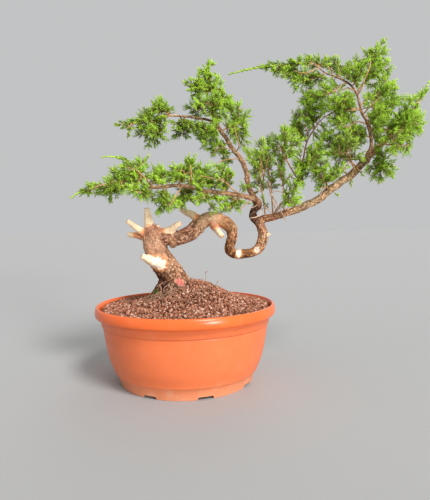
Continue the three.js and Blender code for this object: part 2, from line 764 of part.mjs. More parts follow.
const sprays = Object.entries(SPRAYS).flatMap(([on, list]) =>
  list.map((spray, i) => {
    const name = `${on}_${String(i + 1).padStart(2, "0")}`;
    const stems = stemsOf(name, on, spray);
    stems.forEach(occupyStem);
    return { name, stems };
  }),
);

const plant = new THREE.Group();
plant.add(meshOf("pot", pot(), plastic));
plant.add(meshOf("soil", soil(), grit));
plant.add(meshOf("trunk_and_branches", wood(0), bark));
const woodRoom = wood(STEM_GAP);
sprays.forEach(({ name, stems }, number) => {
  const random = seeded(number + 1);
  const grown = stems.map((stem) => leafyStem(stem, random));
  const spray = mainBody(wasm.Manifold.union(grown).subtract(woodRoom));
  plant.add(meshOf(`spray_${name}`, spray, leaf));
});

// The footprint's middle goes to the origin
const extent = new THREE.Box3().setFromObject(plant);
const middle = extent.getCenter(new THREE.Vector3());
plant.position.set(-middle.x, -middle.y, -extent.min.z);

const bonsai = new THREE.Group();
bonsai.add(plant);

export default bonsai;
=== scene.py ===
from math import cos, pi, radians, sin

import bpy
import numpy as np
from mathutils import Euler, Matrix, Vector
from mathutils.bvhtree import BVHTree


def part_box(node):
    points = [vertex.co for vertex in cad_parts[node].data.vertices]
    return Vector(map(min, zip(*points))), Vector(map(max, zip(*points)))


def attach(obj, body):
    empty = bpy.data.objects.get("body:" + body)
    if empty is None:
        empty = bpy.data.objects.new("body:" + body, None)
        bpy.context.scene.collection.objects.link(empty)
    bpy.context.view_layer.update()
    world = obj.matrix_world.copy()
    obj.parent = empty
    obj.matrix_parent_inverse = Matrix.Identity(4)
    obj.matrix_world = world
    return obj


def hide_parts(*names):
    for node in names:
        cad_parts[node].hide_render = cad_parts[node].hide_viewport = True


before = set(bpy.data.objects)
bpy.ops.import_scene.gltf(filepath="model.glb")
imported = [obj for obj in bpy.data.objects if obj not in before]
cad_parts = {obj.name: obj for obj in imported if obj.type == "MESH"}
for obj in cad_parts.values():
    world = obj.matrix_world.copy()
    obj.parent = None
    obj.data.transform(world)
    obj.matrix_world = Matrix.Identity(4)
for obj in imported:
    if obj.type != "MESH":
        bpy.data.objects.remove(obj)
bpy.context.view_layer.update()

# The looks of a juniper bonsai in a plastic training pot. Shapes are worked out in millimetres from the
# pot's axis, with z up from the table, and become metres in the CAD model's frame when a mesh is made.
MM = 0.001
pot_low, pot_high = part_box("pot")
AXIS = np.array([(pot_low[0] + pot_high[0]) / 2, (pot_low[1] + pot_high[1]) / 2, 0.0])

# The eye of the reference view, which the tree's points are read from: [x, z] in the plane of the pot's
# axis, then the depth behind that plane along the line of sight, then the radius
EYE_X, EYE_Z, EYE_DISTANCE = 40.0, 198.0, 589.0

TRUNK = [
    (-5, 76, 0, 16), (-7, 98, 0, 20), (-10, 120, 0, 21), (-17, 136, -2, 18.2), (-28, 153, -5, 16.8),
    (-37, 169, -8, 15.2), (-41.5, 184, -9, 14.4), (-43, 196, -10, 13.2), (-43, 204, -10, 8),
]
WINDING = [
    (-36, 189, -9, 10), (-22, 189, -9, 10), (-6, 190, -5, 9.7), (7, 195, 1, 10.1), (17, 204, 5, 10.3),
    (28, 212, 4, 9.8), (41, 213.5, 0, 9.4), (53, 209.5, -5, 8.9), (62, 201.5, -8, 8.3), (64, 191, -8, 7.3),
    (61, 180.5, -5, 6.9), (60.5, 171, 0, 7), (67, 166, 5, 6.8), (78, 166.5, 8, 6.4), (90, 168, 8, 6.4),
    (99.5, 174, 5, 6.7), (104.5, 185, 2, 7), (104.5, 197, 0, 6.8), (101, 206, 0, 6.4), (99, 211, 0, 5.6),
]
LIMBS = {
    "knuckle": [(100, 208, 0, 5.8), (92.5, 216, 4, 5.5), (93.5, 225, 6, 5.1), (101, 231, 6, 4.7)],
    "low_left": [
        (100, 229, 6, 4.4), (101, 236, 2, 3.8), (92, 241, -4, 3.5), (78, 245, -12, 3.2), (60, 248, -20, 3),
        (40, 250, -26, 2.9), (22, 253, -30, 2.8), (5, 257, -32, 2.6), (-12, 259, -32, 2.5),
        (-30, 257, -30, 2.3), (-45, 258, -28, 2.1), (-60, 264, -26, 1.9), (-78, 266, -26, 1.7),
        (-98, 263, -28, 1.4), (-116, 260, -30, 1.2),
    ],
    "upper_left": [
        (99, 229, 6, 4.6), (92, 244, 12, 4.2), (86, 260, 18, 3.8), (83, 276, 22, 3.6), (78, 290, 24, 3.5),
        (69, 303, 25, 3.3), (60, 316, 24, 3.1), (52, 329, 22, 2.9), (45, 343, 20, 2.6), (38, 358, 18, 2.2),
        (33, 374, 16, 1.9), (31, 390, 14, 1.5), (31, 402, 12, 1.2),
    ],
    "side_left": [
        (47, 340, 20, 2), (33, 346, 16, 1.9), (15, 349, 10, 1.8), (0, 351, 6, 1.7), (-15, 352, 2, 1.6),
        (-28, 349, -2, 1.5), (-45, 345, -5, 1.3), (-62, 342, -8, 1.2),
    ],
    "right": [
        (101, 204, 0, 5.8), (107, 212, -1, 5.5), (120, 216, -3, 5.1), (138, 220, -5, 4.9),
        (155, 225.5, -6, 4.9), (172, 234, -6, 5), (190, 246, -4, 5.3), (208, 259, 0, 5.4),
        (225, 272, 5, 5.4), (238, 283, 9, 5.1), (247, 294, 12, 4.6),
    ],
    "middle": [
        (148, 222, -5, 3), (147, 245, 2, 2.7), (153, 268, 8, 2.5), (160, 292, 10, 2.3), (165, 315, 8, 2.1),
        (176, 333, 4, 1.8), (190, 348, 0, 1.5), (206, 354, -4, 1.2),
    ],
    "leader": [
        (243, 289, 10, 4.4), (250, 308, 14, 3.6), (249.5, 323, 14, 3.3), (246, 338, 11, 3.1),
        (239, 351, 7, 2.9), (235, 364, 3, 2.7), (232, 376, 0, 2.5), (225, 387, -3, 2.3), (214, 395, -5, 2.1),
        (201, 400, -6, 1.9), (190, 405, -8, 1.7), (180, 413, -9, 1.4), (171, 418, -10, 1.2),
    ],
    "right_arm": [
        (246, 292, 11, 3.8), (258, 302, 7, 3.2), (270, 314, 0, 2.8), (280, 328, -8, 2.4),
        (292, 340, -14, 1.9), (304, 352, -18, 1.5), (313, 363, -20, 1.2),
    ],
    "back_arm": [
        (248, 300, 13, 3), (262, 311, 28, 2.5), (276, 321, 42, 2.1), (290, 329, 54, 1.7), (301, 334, 62, 1.2),
    ],
}
# The stripped dead stubs: the share of the length that is still rusty brown, then the points
STUBS = [
    (0.20, [(-45, 196, -12, 8.8), (-48, 211, -14, 5.8), (-50.5, 230, -16, 3.2)]),
    (0.28, [(-48, 192, -10, 6.5), (-63, 202, -15, 4.2), (-77.5, 213, -20, 3)]),
    (0.62, [(-48, 189, -6, 6.5), (-64, 193, -4, 4.4), (-76, 194.5, 0, 3.6)]),
    (0.16, [(-32, 195, -8, 7.4), (-19, 200, -14, 5), (-10, 206.5, -18, 4.2), (-4.5, 208, -20, 3)]),
    (0.45, [(-37, 196, -10, 6), (-37, 207, -15, 2.6)]),
    (0.05, [(-34, 155, -12, 9), (-47, 159.5, -21, 6.4), (-59, 165, -26, 3.8)]),
    (0.20, [(22, 211, 4, 6.6), (10, 220, 5, 5.2), (2, 223.5, 8, 4.4), (-5.5, 227.5, 12, 2.8)]),
    (0.36, [(38, 206, -4, 5.6), (44, 198, -13, 4.4), (50.5, 190, -20, 3.4)]),
    (0.20, [(105, 188, 0, 3.4), (115.5, 193, -4, 1.5)]),
]
KNOTS = [[(-17, 187, -12, 7), (-16, 178, -20, 4.6)]]
ROOTS = [
    [(-22, 137, -5, 9), (-35, 124, -12, 5.2), (-46, 110, -17, 2.8)],
    [(-20, 131, -8, 9), (-26, 118, -20, 5), (-31, 104, -31, 2.4)],
    [(-4, 126, -6, 9), (8, 116, -16, 5.5), (20, 102, -26, 2.8)],
    [(-4, 126, 8, 9), (16, 124, 16, 5.5), (34, 106, 24, 3)],
    [(-20, 132, 10, 8), (-30, 120, 24, 5), (-40, 98, 36, 2.6)],
]

# Leafy sprays by limb: where along the limb's points, the reach of the twigs, the bare share of the first
# stem, and the stems' tips as (x, z, depth). A fork's tip goes on with where along the first stem it leaves
# and, where it isn't 1, with the share of the reach that its twigs have. The CAD model has the first forks,
# and the others fill the crowns between them with foliage.
SPRAYS = {
    "low_left": [
        (3.4, 12, 0.1, [
            (74, 229, -24), (56, 231, 4, 0.4), (52, 227, -44, 0.35), (46, 243, -10, 0.2),
            (80, 254, -24, 0.05), (80, 236, -30, 0.1), (62, 243, -42, 0.15),
        ]),
        (4.2, 13, 0.1, [
            (61, 273, -40), (47, 269, -56, 0.4), (38, 262, -24, 0.15), (50, 250, -44, 0.08),
            (38, 258, -44, 0.15), (53, 276, -40, 0.5), (45, 282, -44, 0.8),
        ]),
        (5.4, 13, 0.1, [
            (18, 240, -68), (36, 230, -48, 0.35), (30, 246, -20, 0.15), (22, 250, -54, 0.2),
            (40, 243, -50, 0.2), (46, 239, -44, 0.3),
        ]),
        (6.1, 14, 0.1, [
            (30, 281, -18), (17, 276, 6, 0.45), (26, 272, -8, 0.35), (40, 262, -24, 0.2),
            (16, 264, -14, 0.12), (36, 271, -34, 0.5), (18, 259, -46, 0.1), (24, 264, -44, 0.2),
            (14, 285, -8, 0.7),
        ]),
        (7, 13, 0.1, [
            (-3, 244, -2), (10, 262, 14, 0.45), (4, 250, -16, 0.4), (0, 236, -40, 0.3),
            (8, 240, -30, 0.3), (-6, 233, -44, 0.5),
        ]),
        (7.7, 14, 0.1, [
            (11, 291, -44), (-8, 279, -58, 0.45), (-17, 272, -26, 0.2), (16, 274, -30, 0.4),
            (2, 276, -34, 0.4), (4, 285, -40, 0.6), (-10, 266, -50, 0.1), (0, 268, -48, 0.12),
            (7, 263, -46, 0.1), (-18, 265, -46, 0.15), (-11, 280, -42, 0.35),
        ]),
        (8.6, 13, 0.1, [
            (-32, 229, -44), (-16, 231, -58, 0.45), (-28, 260, -76, 0.3), (-18, 242, -30, 0.3),
            (-30, 246, -20, 0.15), (-26, 237, -48, 0.6),
        ]),
        (9.2, 14, 0.1, [
            (-31, 280, -10), (-42, 276, 8, 0.4), (-30, 272, -24, 0.25), (-47, 270, -6, 0.3),
            (-22, 272, -12, 0.4),
        ]),
        (9.9, 14, 0.1, [
            (-54, 244, -52), (-68, 254, -66, 0.4), (-44, 244, -24, 0.25), (-62, 252, -34, 0.3),
            (-46, 258, -48, 0.1), (-40, 265, -44, 0.15),
        ]),
        (10.8, 14, 0.1, [
            (-60, 288, -30), (-78, 284, -48, 0.4), (-74, 272, 12, 0.2), (-108, 298, -28, 0.75, 0.45),
            (-62, 275, -38, 0.25), (-52, 291, -16, 0.7), (-72, 264, -46, 0.12), (-62, 263, -44, 0.15),
            (-82, 268, -44, 0.2),
        ]),
        (11.4, 12, 0.1, [(-85, 279, -12), (-93, 268, 4, 0.4), (-76, 284, -26, 0.3)]),
        (11.7, 14, 0.1, [
            (-99, 266, -62), (-82, 256, -56, 0.4), (-86, 262, -36, 0.25), (-92, 276, -40, 0.3),
            (-98, 256, -44, 0.2),
        ]),
        (12.2, 13, 0.1, [
            (-122, 250, 0), (-100, 246, -10, 0.4), (-112, 260, -14, 0.3), (-92, 254, 8, 0.25),
        ]),
        (14, 8, 0.1, [(-151, 245, -34), (-127, 259, -48, 0.15, 1.3), (-122, 260, -22, 0.05, 1.2)]),
    ],
    "side_left": [
        (2.8, 12, 0.1, [
            (-10, 327, 18), (6, 330, 30, 0.4), (-12, 341, -4, 0.15), (0, 342, 2, 0.1), (-4, 334, 0, 0.4),
            (11, 339, -12, 0.1), (19, 336, -8, 0.05), (4, 327, 14, 0.5),
        ]),
        (4.2, 13, 0.1, [
            (-29, 370, -6), (-40, 361, -22, 0.45), (-34, 356, -18, 0.2), (-32, 366, 10, 0.4),
            (-26, 354, -16, 0.1), (-24, 346, -18, 0.05),
        ]),
        (5, 13, 0.1, [
            (-46, 317, 4), (-58, 329, 18, 0.4), (-42, 332, -34, 0.25), (-28, 332, -16, 0.15),
            (-54, 334, -8, 0.3), (-44, 345, -20, 0.05), (-54, 346, -16, 0.1), (-38, 318, 8, 0.6),
            (-30, 326, -2, 0.5),
        ]),
        (5.6, 13, 0.1, [(-62, 346, 6), (-46, 354, 18, 0.4), (-56, 342, -14, 0.1), (-47, 356, -4, 0.5)]),
        (7, 8, 0.1, [(-88, 341, -12), (-72, 332, -26, 0.2, 1.4)]),
    ],
    "upper_left": [
        (6, 13, 0.1, [
            (38, 307, 12), (26, 318, 32, 0.4), (56, 291, 36, 0.3), (42, 304, 20, 0.25),
            (60, 294, 30, 0.35), (53, 311, 10, 0.1),
        ]),
        (7.1, 14, 0.1, [
            (84, 351, 38), (74, 361, 16, 0.4), (81, 335, 14, 0.3), (73, 320, 34, 0.2),
            (64, 334, 4, 0.15), (78, 342, 48, 0.5), (64, 363, 26, 0.5), (79, 328, 30, 0.25),
            (82, 312, 30, 0.25), (63, 319, 6, 0.1),
        ]),
        (7.3, 14, 0.1, [
            (20, 329, -2), (26, 345, -22, 0.35), (32, 332, -16, 0.25), (30, 320, -4, 0.3),
            (44, 330, -2, 0.1), (42, 320, 2, 0.15),
        ]),
        (8.8, 14, 0.1, [
            (43, 377, -20), (23, 366, -26, 0.45), (53, 351, 2, 0.15), (48, 364, -18, 0.4),
            (34, 352, -20, 0.15), (47, 346, -8, 0.08), (43, 338, -4, 0.1),
        ]),
        (9.2, 14, 0.1, [(11, 362, 24), (16, 353, 40, 0.4), (22, 372, 0, 0.2)]),
        (9.6, 14, 0.1, [
            (60, 372, 36), (54, 364, 52, 0.4), (54, 374, 10, 0.3), (63, 362, 44, 0.6),
            (60, 363, 28, 0.3),
        ]),
        (10.3, 13, 0.1, [
            (46, 399, 28), (51, 385, 14, 0.4), (40, 388, -4, 0.15), (48, 384, 30, 0.4),
            (28, 396, -4, 0.15), (33, 405, 0, 0.4), (26, 386, -10, 0.1),
        ]),
        (10.8, 10, 0.1, [
            (8, 395, 4), (12, 386, -12, 0.45), (20, 396, -12, 0.2), (16, 378, 10, 0.3),
            (22, 386, -10, 0.3),
        ]),
        (12, 10, 0.1, [
            (38, 418, 12), (25, 408, 0, 0.2), (25, 399, 0, 0.05), (37, 401, 4, 0.1), (31, 411, 2, 0.4),
        ]),
    ],
    "right": [
        (1.3, 14, 0.35, [
            (104, 311, -40), (89, 297, -52, 0.55), (88, 276, -36, 0.4, 0.8), (93, 256, -20, 0.3, 0.7),
            (96, 286, -44, 0.5), (106, 296, -24, 0.6), (106, 243, -16, 0.05, 0.5),
        ]),
        (2, 14, 0.3, [
            (114, 315, 42), (97, 300, 36, 0.5), (126, 270, 22, 0.35, 0.8), (122, 302, 46, 0.7),
        ]),
        (2.8, 14, 0.3, [
            (136, 328, -48), (154, 314, -60, 0.6), (143, 232, -34, 0.12), (125, 286, -40, 0.4),
            (148, 272, -34, 0.35), (142, 300, -56, 0.55), (122, 306, -34, 0.6), (146, 322, -36, 0.8),
            (124, 317, -32, 0.7), (147, 252, -28, 0.18), (149, 241, -26, 0.12), (148, 228, -28, 0.1),
        ]),
        (6.2, 12, 0.25, [
            (178, 272, -30), (188, 278, -42, 0.5), (206, 270, -24, 0.3), (190, 262, -18, 0.3),
            (204, 276, -22, 0.3), (218, 282, -16, 0.4), (202, 265, -16, 0.25),
            (177, 250, -20, 0.05, 0.6), (206, 243, -16, 0.05, 0.5),
        ]),
        (7.8, 14, 0.35, [
            (190, 326, 62), (226, 330, 66, 0.5), (237, 312, 48, 0.45), (206, 322, 66, 0.7),
            (214, 312, 48, 0.5),
        ]),
        (8.5, 13, 0.25, [
            (200, 300, -36), (222, 318, -50, 0.5), (233, 296, -22, 0.3), (226, 310, -40, 0.6),
            (208, 312, -44, 0.8), (234, 290, -16, 0.3), (196, 298, -26, 0.4), (224, 256, -10, 0.02, 0.5),
            (240, 270, -10, 0.05, 0.6),
        ]),
    ],
    "middle": [
        (2.2, 14, 0.1, [
            (165, 281, -26), (180, 296, -38, 0.4), (157, 262, -18, 0.15), (168, 300, -20, 0.5),
            (152, 280, -22, 0.3), (152, 262, -18, 0.1), (156, 285, -18, 0.1), (156, 303, -22, 0.35),
            (180, 307, -28, 0.5), (186, 317, -24, 0.6),
        ]),
        (3, 14, 0.1, [(188, 285, 28), (180, 262, 34, 0.4), (174, 280, 40, 0.4), (164, 308, -14, 0.08)]),
        (4, 14, 0.1, [
            (150, 343, 28), (152, 334, 46, 0.4), (132, 322, 10, 0.4), (158, 322, 30, 0.4),
            (146, 330, 8, 0.5), (154, 350, -2, 0.3),
        ]),
        (5, 14, 0.1, [
            (169, 394, 16), (164, 372, 2, 0.5), (176, 354, -14, 0.3), (174, 322, -14, 0.05),
            (168, 338, -12, 0.15), (164, 366, -12, 0.4), (178, 372, 20, 0.5), (184, 362, -18, 0.25),
            (190, 347, -22, 0.15), (186, 336, -22, 0.1), (158, 347, -20, 0.2),
        ]),
        (7, 13, 0.1, [
            (224, 373, 14), (228, 338, -16, 0.25), (198, 328, -36, 0.2), (200, 342, -22, 0.1),
            (212, 362, -18, 0.4), (196, 350, -20, 0.08), (188, 358, -18, 0.12), (214, 350, 10, 0.3),
            (204, 368, 8, 0.2),
        ]),
    ],
    "leader": [
        (1.8, 13, 0.1, [
            (222, 328, -34), (209, 341, -50, 0.5), (232, 322, -14, 0.2), (222, 346, -30, 0.4),
        ]),
        (2.3, 14, 0.2, [
            (272, 345, 52), (256, 366, 54, 0.5), (263, 323, 36, 0.2), (262, 336, 30, 0.4),
            (266, 358, 40, 0.6),
        ]),
        (3, 14, 0.1, [
            (262, 354, -44), (247, 371, -52, 0.5), (256, 334, -16, 0.15), (254, 346, -26, 0.4),
            (256, 322, -8, 0.1), (257, 310, -8, 0.08),
        ]),
        (3.6, 14, 0.2, [(294, 367, 8), (280, 362, -18, 0.5), (272, 352, -8, 0.4), (282, 376, -6, 0.6)]),
        (4.4, 14, 0.1, [
            (202, 367, -44), (216, 374, -60, 0.5), (244, 358, -14, 0.05), (218, 360, -28, 0.3),
            (206, 358, -34, 0.6), (224, 368, -36, 0.4),
        ]),
        (4.8, 14, 0.2, [
            (279, 388, 36), (270, 399, 50, 0.5), (264, 380, 26, 0.45), (276, 384, 10, 0.6),
            (268, 372, 24, 0.3),
        ]),
        (6.2, 13, 0.25, [
            (263, 441, 18), (252, 430, 2, 0.6), (271, 409, 12, 0.5), (246, 395, -4, 0.25),
            (262, 410, -6, 0.5), (260, 424, 18, 0.7), (254, 388, -2, 0.15), (262, 398, -6, 0.3),
            (257, 406, -10, 0.4), (244, 428, 8, 0.55), (268, 418, 6, 0.45), (252, 400, 14, 0.25),
            (264, 430, 10, 0.75),
        ]),
        (7, 13, 0.1, [
            (243, 416, -20), (226, 409, -32, 0.45), (232, 398, -14, 0.2), (240, 404, -6, 0.5),
            (231, 390, -22, 0.08), (216, 401, -22, 0.15), (236, 410, -20, 0.6), (222, 396, -10, 0.2),
        ]),
        (7.6, 13, 0.1, [
            (172, 375, -36), (188, 385, -48, 0.5), (198, 382, -16, 0.3), (182, 372, -24, 0.6),
        ]),
        (8.8, 13, 0.1, [(221, 411, 16), (236, 416, 30, 0.4), (203, 420, 6, 0.3), (200, 399, -20, 0.05)]),
        (10, 12, 0.1, [
            (124, 408, -6), (137, 409, 16, 0.5), (150, 394, -22, 0.2), (162, 404, -22, 0.15),
            (138, 404, -14, 0.5), (140, 410, 10, 0.4), (188, 397, -24, 0.06), (181, 404, -24, 0.08),
            (152, 388, -16, 0.25), (150, 413, -10, 0.4),
        ]),
        (11, 12, 0.1, [
            (189, 419, 4), (202, 414, 14, 0.4), (192, 412, -14, 0.1), (172, 422, 2, 0.3),
            (164, 416, -16, 0.2, 1.2), (168, 421, -12, 0.3),
        ]),
        (12, 7, 0.1, [
            (63, 405, 8), (114, 413, 16, 0.45, 1.3), (153, 420, -14, 0.1, 1.6),
            (142, 415, -10, 0.2, 1.5), (126, 411, -2, 0.35, 1.3),
        ]),
    ],
    "right_arm": [
        (0.9, 13, 0.1, [
            (264, 267, -14), (275, 281, -28, 0.4), (247, 277, -8, 0.3), (262, 282, -4, 0.3),
            (270, 276, -26, 0.6), (262, 298, -18, 0.25), (272, 301, -26, 0.35), (255, 269, -12, 0.3),
            (276, 272, -22, 0.4),
        ]),
        (3.2, 14, 0.1, [
            (305, 366, -42), (312, 335, -46, 0.4), (293, 320, -52, 0.4), (267, 322, -34, 0.15),
            (282, 312, -34, 0.2), (300, 346, -40, 0.6), (288, 342, -36, 0.4), (285, 306, -50, 0.45),
            (297, 304, -46, 0.6), (275, 312, -32, 0.15),
        ]),
        (4.4, 14, 0.1, [
            (314, 341, -10), (307, 356, 8, 0.4), (300, 332, 4, 0.3), (302, 346, -20, 0.4),
            (315, 332, -10, 0.35),
        ]),
        (6, 8, 0.1, [(327, 390, -24), (314, 372, -8, 0.1, 1.3), (309, 362, -26, 0.05)]),
    ],
    "back_arm": [
        (4, 13, 0.1, [(312, 350, 74), (302, 311, 60, 0.2), (290, 306, 52, 0.2), (279, 303, 44, 0.15)]),
    ],
}

# Painted light and shade on the foliage: how much lighter, or darker, a spray's foliage is painted than the
# rest, by limb or by spray, lighter where its crown is lit and darker where it is shaded
SPRAY_LIGHT_AND_SHADE = {
    "side_left": -0.22, "right_01": -0.16, "right_02": -0.12, "leader_01": -0.16, "right_05": -0.16,
    "right_06": -0.16, "leader_11": -0.10, "leader_12": -0.08, "leader_02": 0.16, "leader_03": 0.12,
    "leader_04": 0.20, "right_arm": 0.26, "back_arm": 0.22, "middle_05": 0.18, "leader_05": 0.16,
    "leader_09": 0.10, "leader_06": -0.04, "leader_07": -0.04,
}

# Where bare wood shows in front of the foliage: stretches of limbs, by index along their points, and twigs by
# the spray that carries them, as (x, z, depth, radius)
SHOWN_LIMBS = [
    ("low_left", 0, 5.7), ("low_left", 6.9, 10), ("upper_left", 2.4, 7.4), ("side_left", 0.8, 4.2),
    ("middle", 3, 6.8), ("leader", 0.9, 12), ("right", 0, 8.7),
]
SHOWN_TWIGS = {
    "low_left_01": [[(97, 239, 0, 1), (90, 239, -8, 0.9), (81.5, 232, -14, 0.8), (75, 225.5, -16, 0.6)]],
    "low_left_02": [
        [
            (77, 245.2, -12, 1.2), (71, 249, -22, 1.1), (64.5, 254, -32, 1.1), (58, 260.5, -40, 1),
            (49.5, 265.5, -44, 1), (40, 267.8, -46, 0.9), (33, 269, -46, 0.8), (21, 272, -44, 0.6),
        ],
    ],
    "low_left_05": [
        [
            (-2, 258, -32, 1.2), (-5.5, 254.5, -38, 1.15), (-10.5, 246.5, -44, 1),
            (-15, 239.5, -47, 0.9), (-19, 233, -48, 0.7),
        ],
    ],
    "low_left_06": [
        [
            (8, 256.5, -32, 1.5), (9, 264, -40, 1.3), (10, 272, -44, 1.2), (9.5, 279, -46, 1),
            (9, 286, -46, 0.7),
        ],
    ],
    "low_left_10": [
        [
            (-41, 257.5, -28, 1.5), (-50, 267, -36, 1.3), (-56, 274, -40, 1.1), (-62, 279.5, -42, 0.9),
            (-70, 283, -42, 0.6),
        ],
    ],
    "upper_left_01": [
        [(76, 294, 24, 0.9), (65, 293.5, 16, 0.8), (53.5, 292, 13, 0.7), (43.5, 288, 12, 0.5)],
        [
            (66, 306.5, 24, 0.8), (55, 308, 14, 0.7), (47, 307, 12, 0.6), (42, 303, 12, 0.5),
            (39.5, 299, 12, 0.4),
        ],
    ],
    "upper_left_02": [[(70, 303, 25, 0.9), (74, 309, 14, 0.9), (71.5, 324, 8, 0.8), (68, 338, 6, 0.6)]],
    "right_01": [
        [(107, 262, -14, 1), (106, 275, -24, 1), (103.5, 287, -30, 0.9), (103, 300, -32, 0.6)],
        [(107, 268, -18, 0.9), (111, 284, -28, 0.9), (114, 297, -30, 0.6)],
    ],
    "right_03": [
        [
            (152, 266, 6, 1.3), (146, 276, -8, 1.2), (139.5, 288, -16, 1.2), (134, 298, -20, 1),
            (129.5, 305.5, -22, 0.8), (124, 313, -22, 0.5),
        ],
    ],
    "right_06": [
        [
            (230, 275, 2, 1.3), (226.5, 283, -8, 1.1), (223.5, 291, -12, 1), (222.5, 299, -12, 0.8),
            (224, 308, -12, 0.6),
        ],
        [(225, 287, -10, 0.9), (219.5, 285.5, -14, 0.8), (214, 276.5, -16, 0.6)],
        [(223, 293, -12, 0.9), (219, 299, -14, 0.9), (211, 300, -16, 0.9), (201, 299, -16, 0.7)],
    ],
    "middle_04": [[(166, 321, 7, 1), (165.5, 329, -4, 0.8), (163.5, 334, -8, 0.8), (160, 341, -10, 0.6)]],
    "leader_01": [
        [
            (245.5, 336, 11, 1.1), (237.5, 340.3, 0, 1.1), (229, 340.5, -8, 1), (223, 336.5, -12, 0.9),
            (218.5, 331, -14, 0.6),
        ],
    ],
    "leader_03": [[(240, 350, 7, 1), (245, 355.5, -2, 1), (255, 365.5, -8, 0.9), (262, 372, -10, 0.6)]],
    "leader_05": [
        [(238, 352, 7, 1), (234, 356, -2, 0.9), (224, 355.5, -12, 0.9), (214, 354.5, -16, 0.6)],
    ],
    "leader_07": [
        [
            (233, 376, 0, 1.2), (239, 386, -6, 1.1), (243, 397, -8, 1), (247.5, 408, -6, 0.9),
            (250.5, 419, -2, 0.7),
        ],
    ],
    "leader_09": [[(229, 381, -1, 1.1), (220, 385, -8, 1), (210, 381.5, -12, 0.9), (204, 379, -12, 0.6)]],
    "leader_10": [[(199, 401, -6, 0.9), (198.5, 409, -10, 0.9), (192, 414, -12, 0.6)]],
    "leader_11": [
        [(181, 411, -9, 0.9), (170, 407, -14, 0.9), (160, 405, -16, 0.8), (149, 408, -16, 0.5)],
    ],
    "right_arm_02": [
        [
            (268, 312, 0, 1.2), (275, 309, -12, 1.2), (281, 314, -20, 1.1), (274, 325, -26, 1),
            (267, 333, -30, 0.7),
        ],
        [(280, 312.5, -20, 0.9), (289, 308, -26, 0.8), (296, 308.5, -28, 0.8), (303, 309.5, -28, 0.5)],
        [(281, 314, -20, 0.9), (285.5, 323.5, -28, 0.9), (291, 331, -32, 0.6)],
    ],
}
# The foliage in front of it is parted this much wider than a limb or a twig
LIMB_MARGIN, TWIG_MARGIN = 1.3, 0.6

# Soil, as the CAD model has it
SOIL_LEVEL = 96.5
SOIL_RADIUS = 112.0
MOUND_X, MOUND_Y, MOUND_HEIGHT, MOUND_SPREAD = 8.0, 4.0, 34.0, 40.0

# The pot
POT_HEIGHT = 102.0
FOOT_RADIUS, FOOT_RING = 88.5, 4.5
FLOOR_UNDERSIDE, FLOOR_TOP = 4.6, 7.6
NOTCH_COUNT, NOTCH_FIRST, NOTCH_WIDTH, NOTCH_HEIGHT = 8, radians(18), 20.0, 3.8
DRAIN_COUNT, DRAIN_RING, DRAIN_RADIUS = 6, 52.0, 5.0

# Thin dead twigs that cross in front of the limbs, as (x, z, depth, radius)
DRY_TWIGS = [
    [
        (113, 264, -10, 1.1), (115, 254, -13, 1.1), (116, 246, -14, 1), (120, 234, -16, 0.9),
        (124, 222, -12, 0.9),
    ],
    [(116, 248, -14, 0.9), (122, 237, -17, 0.9), (128, 227, -16, 0.8), (136.5, 209.5, -14, 0.6)],
    [(122, 221, -7, 2), (128, 230, -14, 1.8), (132.5, 236, -17, 1.5)],
    [(109, 229, -12, 0.8), (113, 225.5, -12, 0.8), (118, 221, -10, 0.8)],
    [(105, 227, -6, 0.9), (101, 218.5, -9, 0.8), (96, 215.5, -11, 0.8), (88.5, 214, -12, 0.6)],
    [(98, 232, -2, 0.9), (93, 229, -6, 0.8), (87, 228.5, -8, 0.5)],
    [(116, 247, -14, 0.8), (124, 250, -17, 0.7), (134, 247, -18, 0.7), (139, 243, -16, 0.5)],
    [(116, 250, -12, 0.8), (111, 258, -15, 0.7), (104, 262, -18, 0.5)],
    [(181, 241, -9, 1), (184, 247, -12, 0.9), (189, 257, -14, 0.8), (190, 268, -13, 0.6)],
    [(143, 262, -14, 0.9), (141, 245, -12, 0.8), (140, 230, -8, 0.8), (139, 222, -8, 0.9)],
    [(-13, 157, -15, 0.5), (-10.5, 158.5, -17, 0.4), (-8.5, 160.5, -18, 0.3)],
]

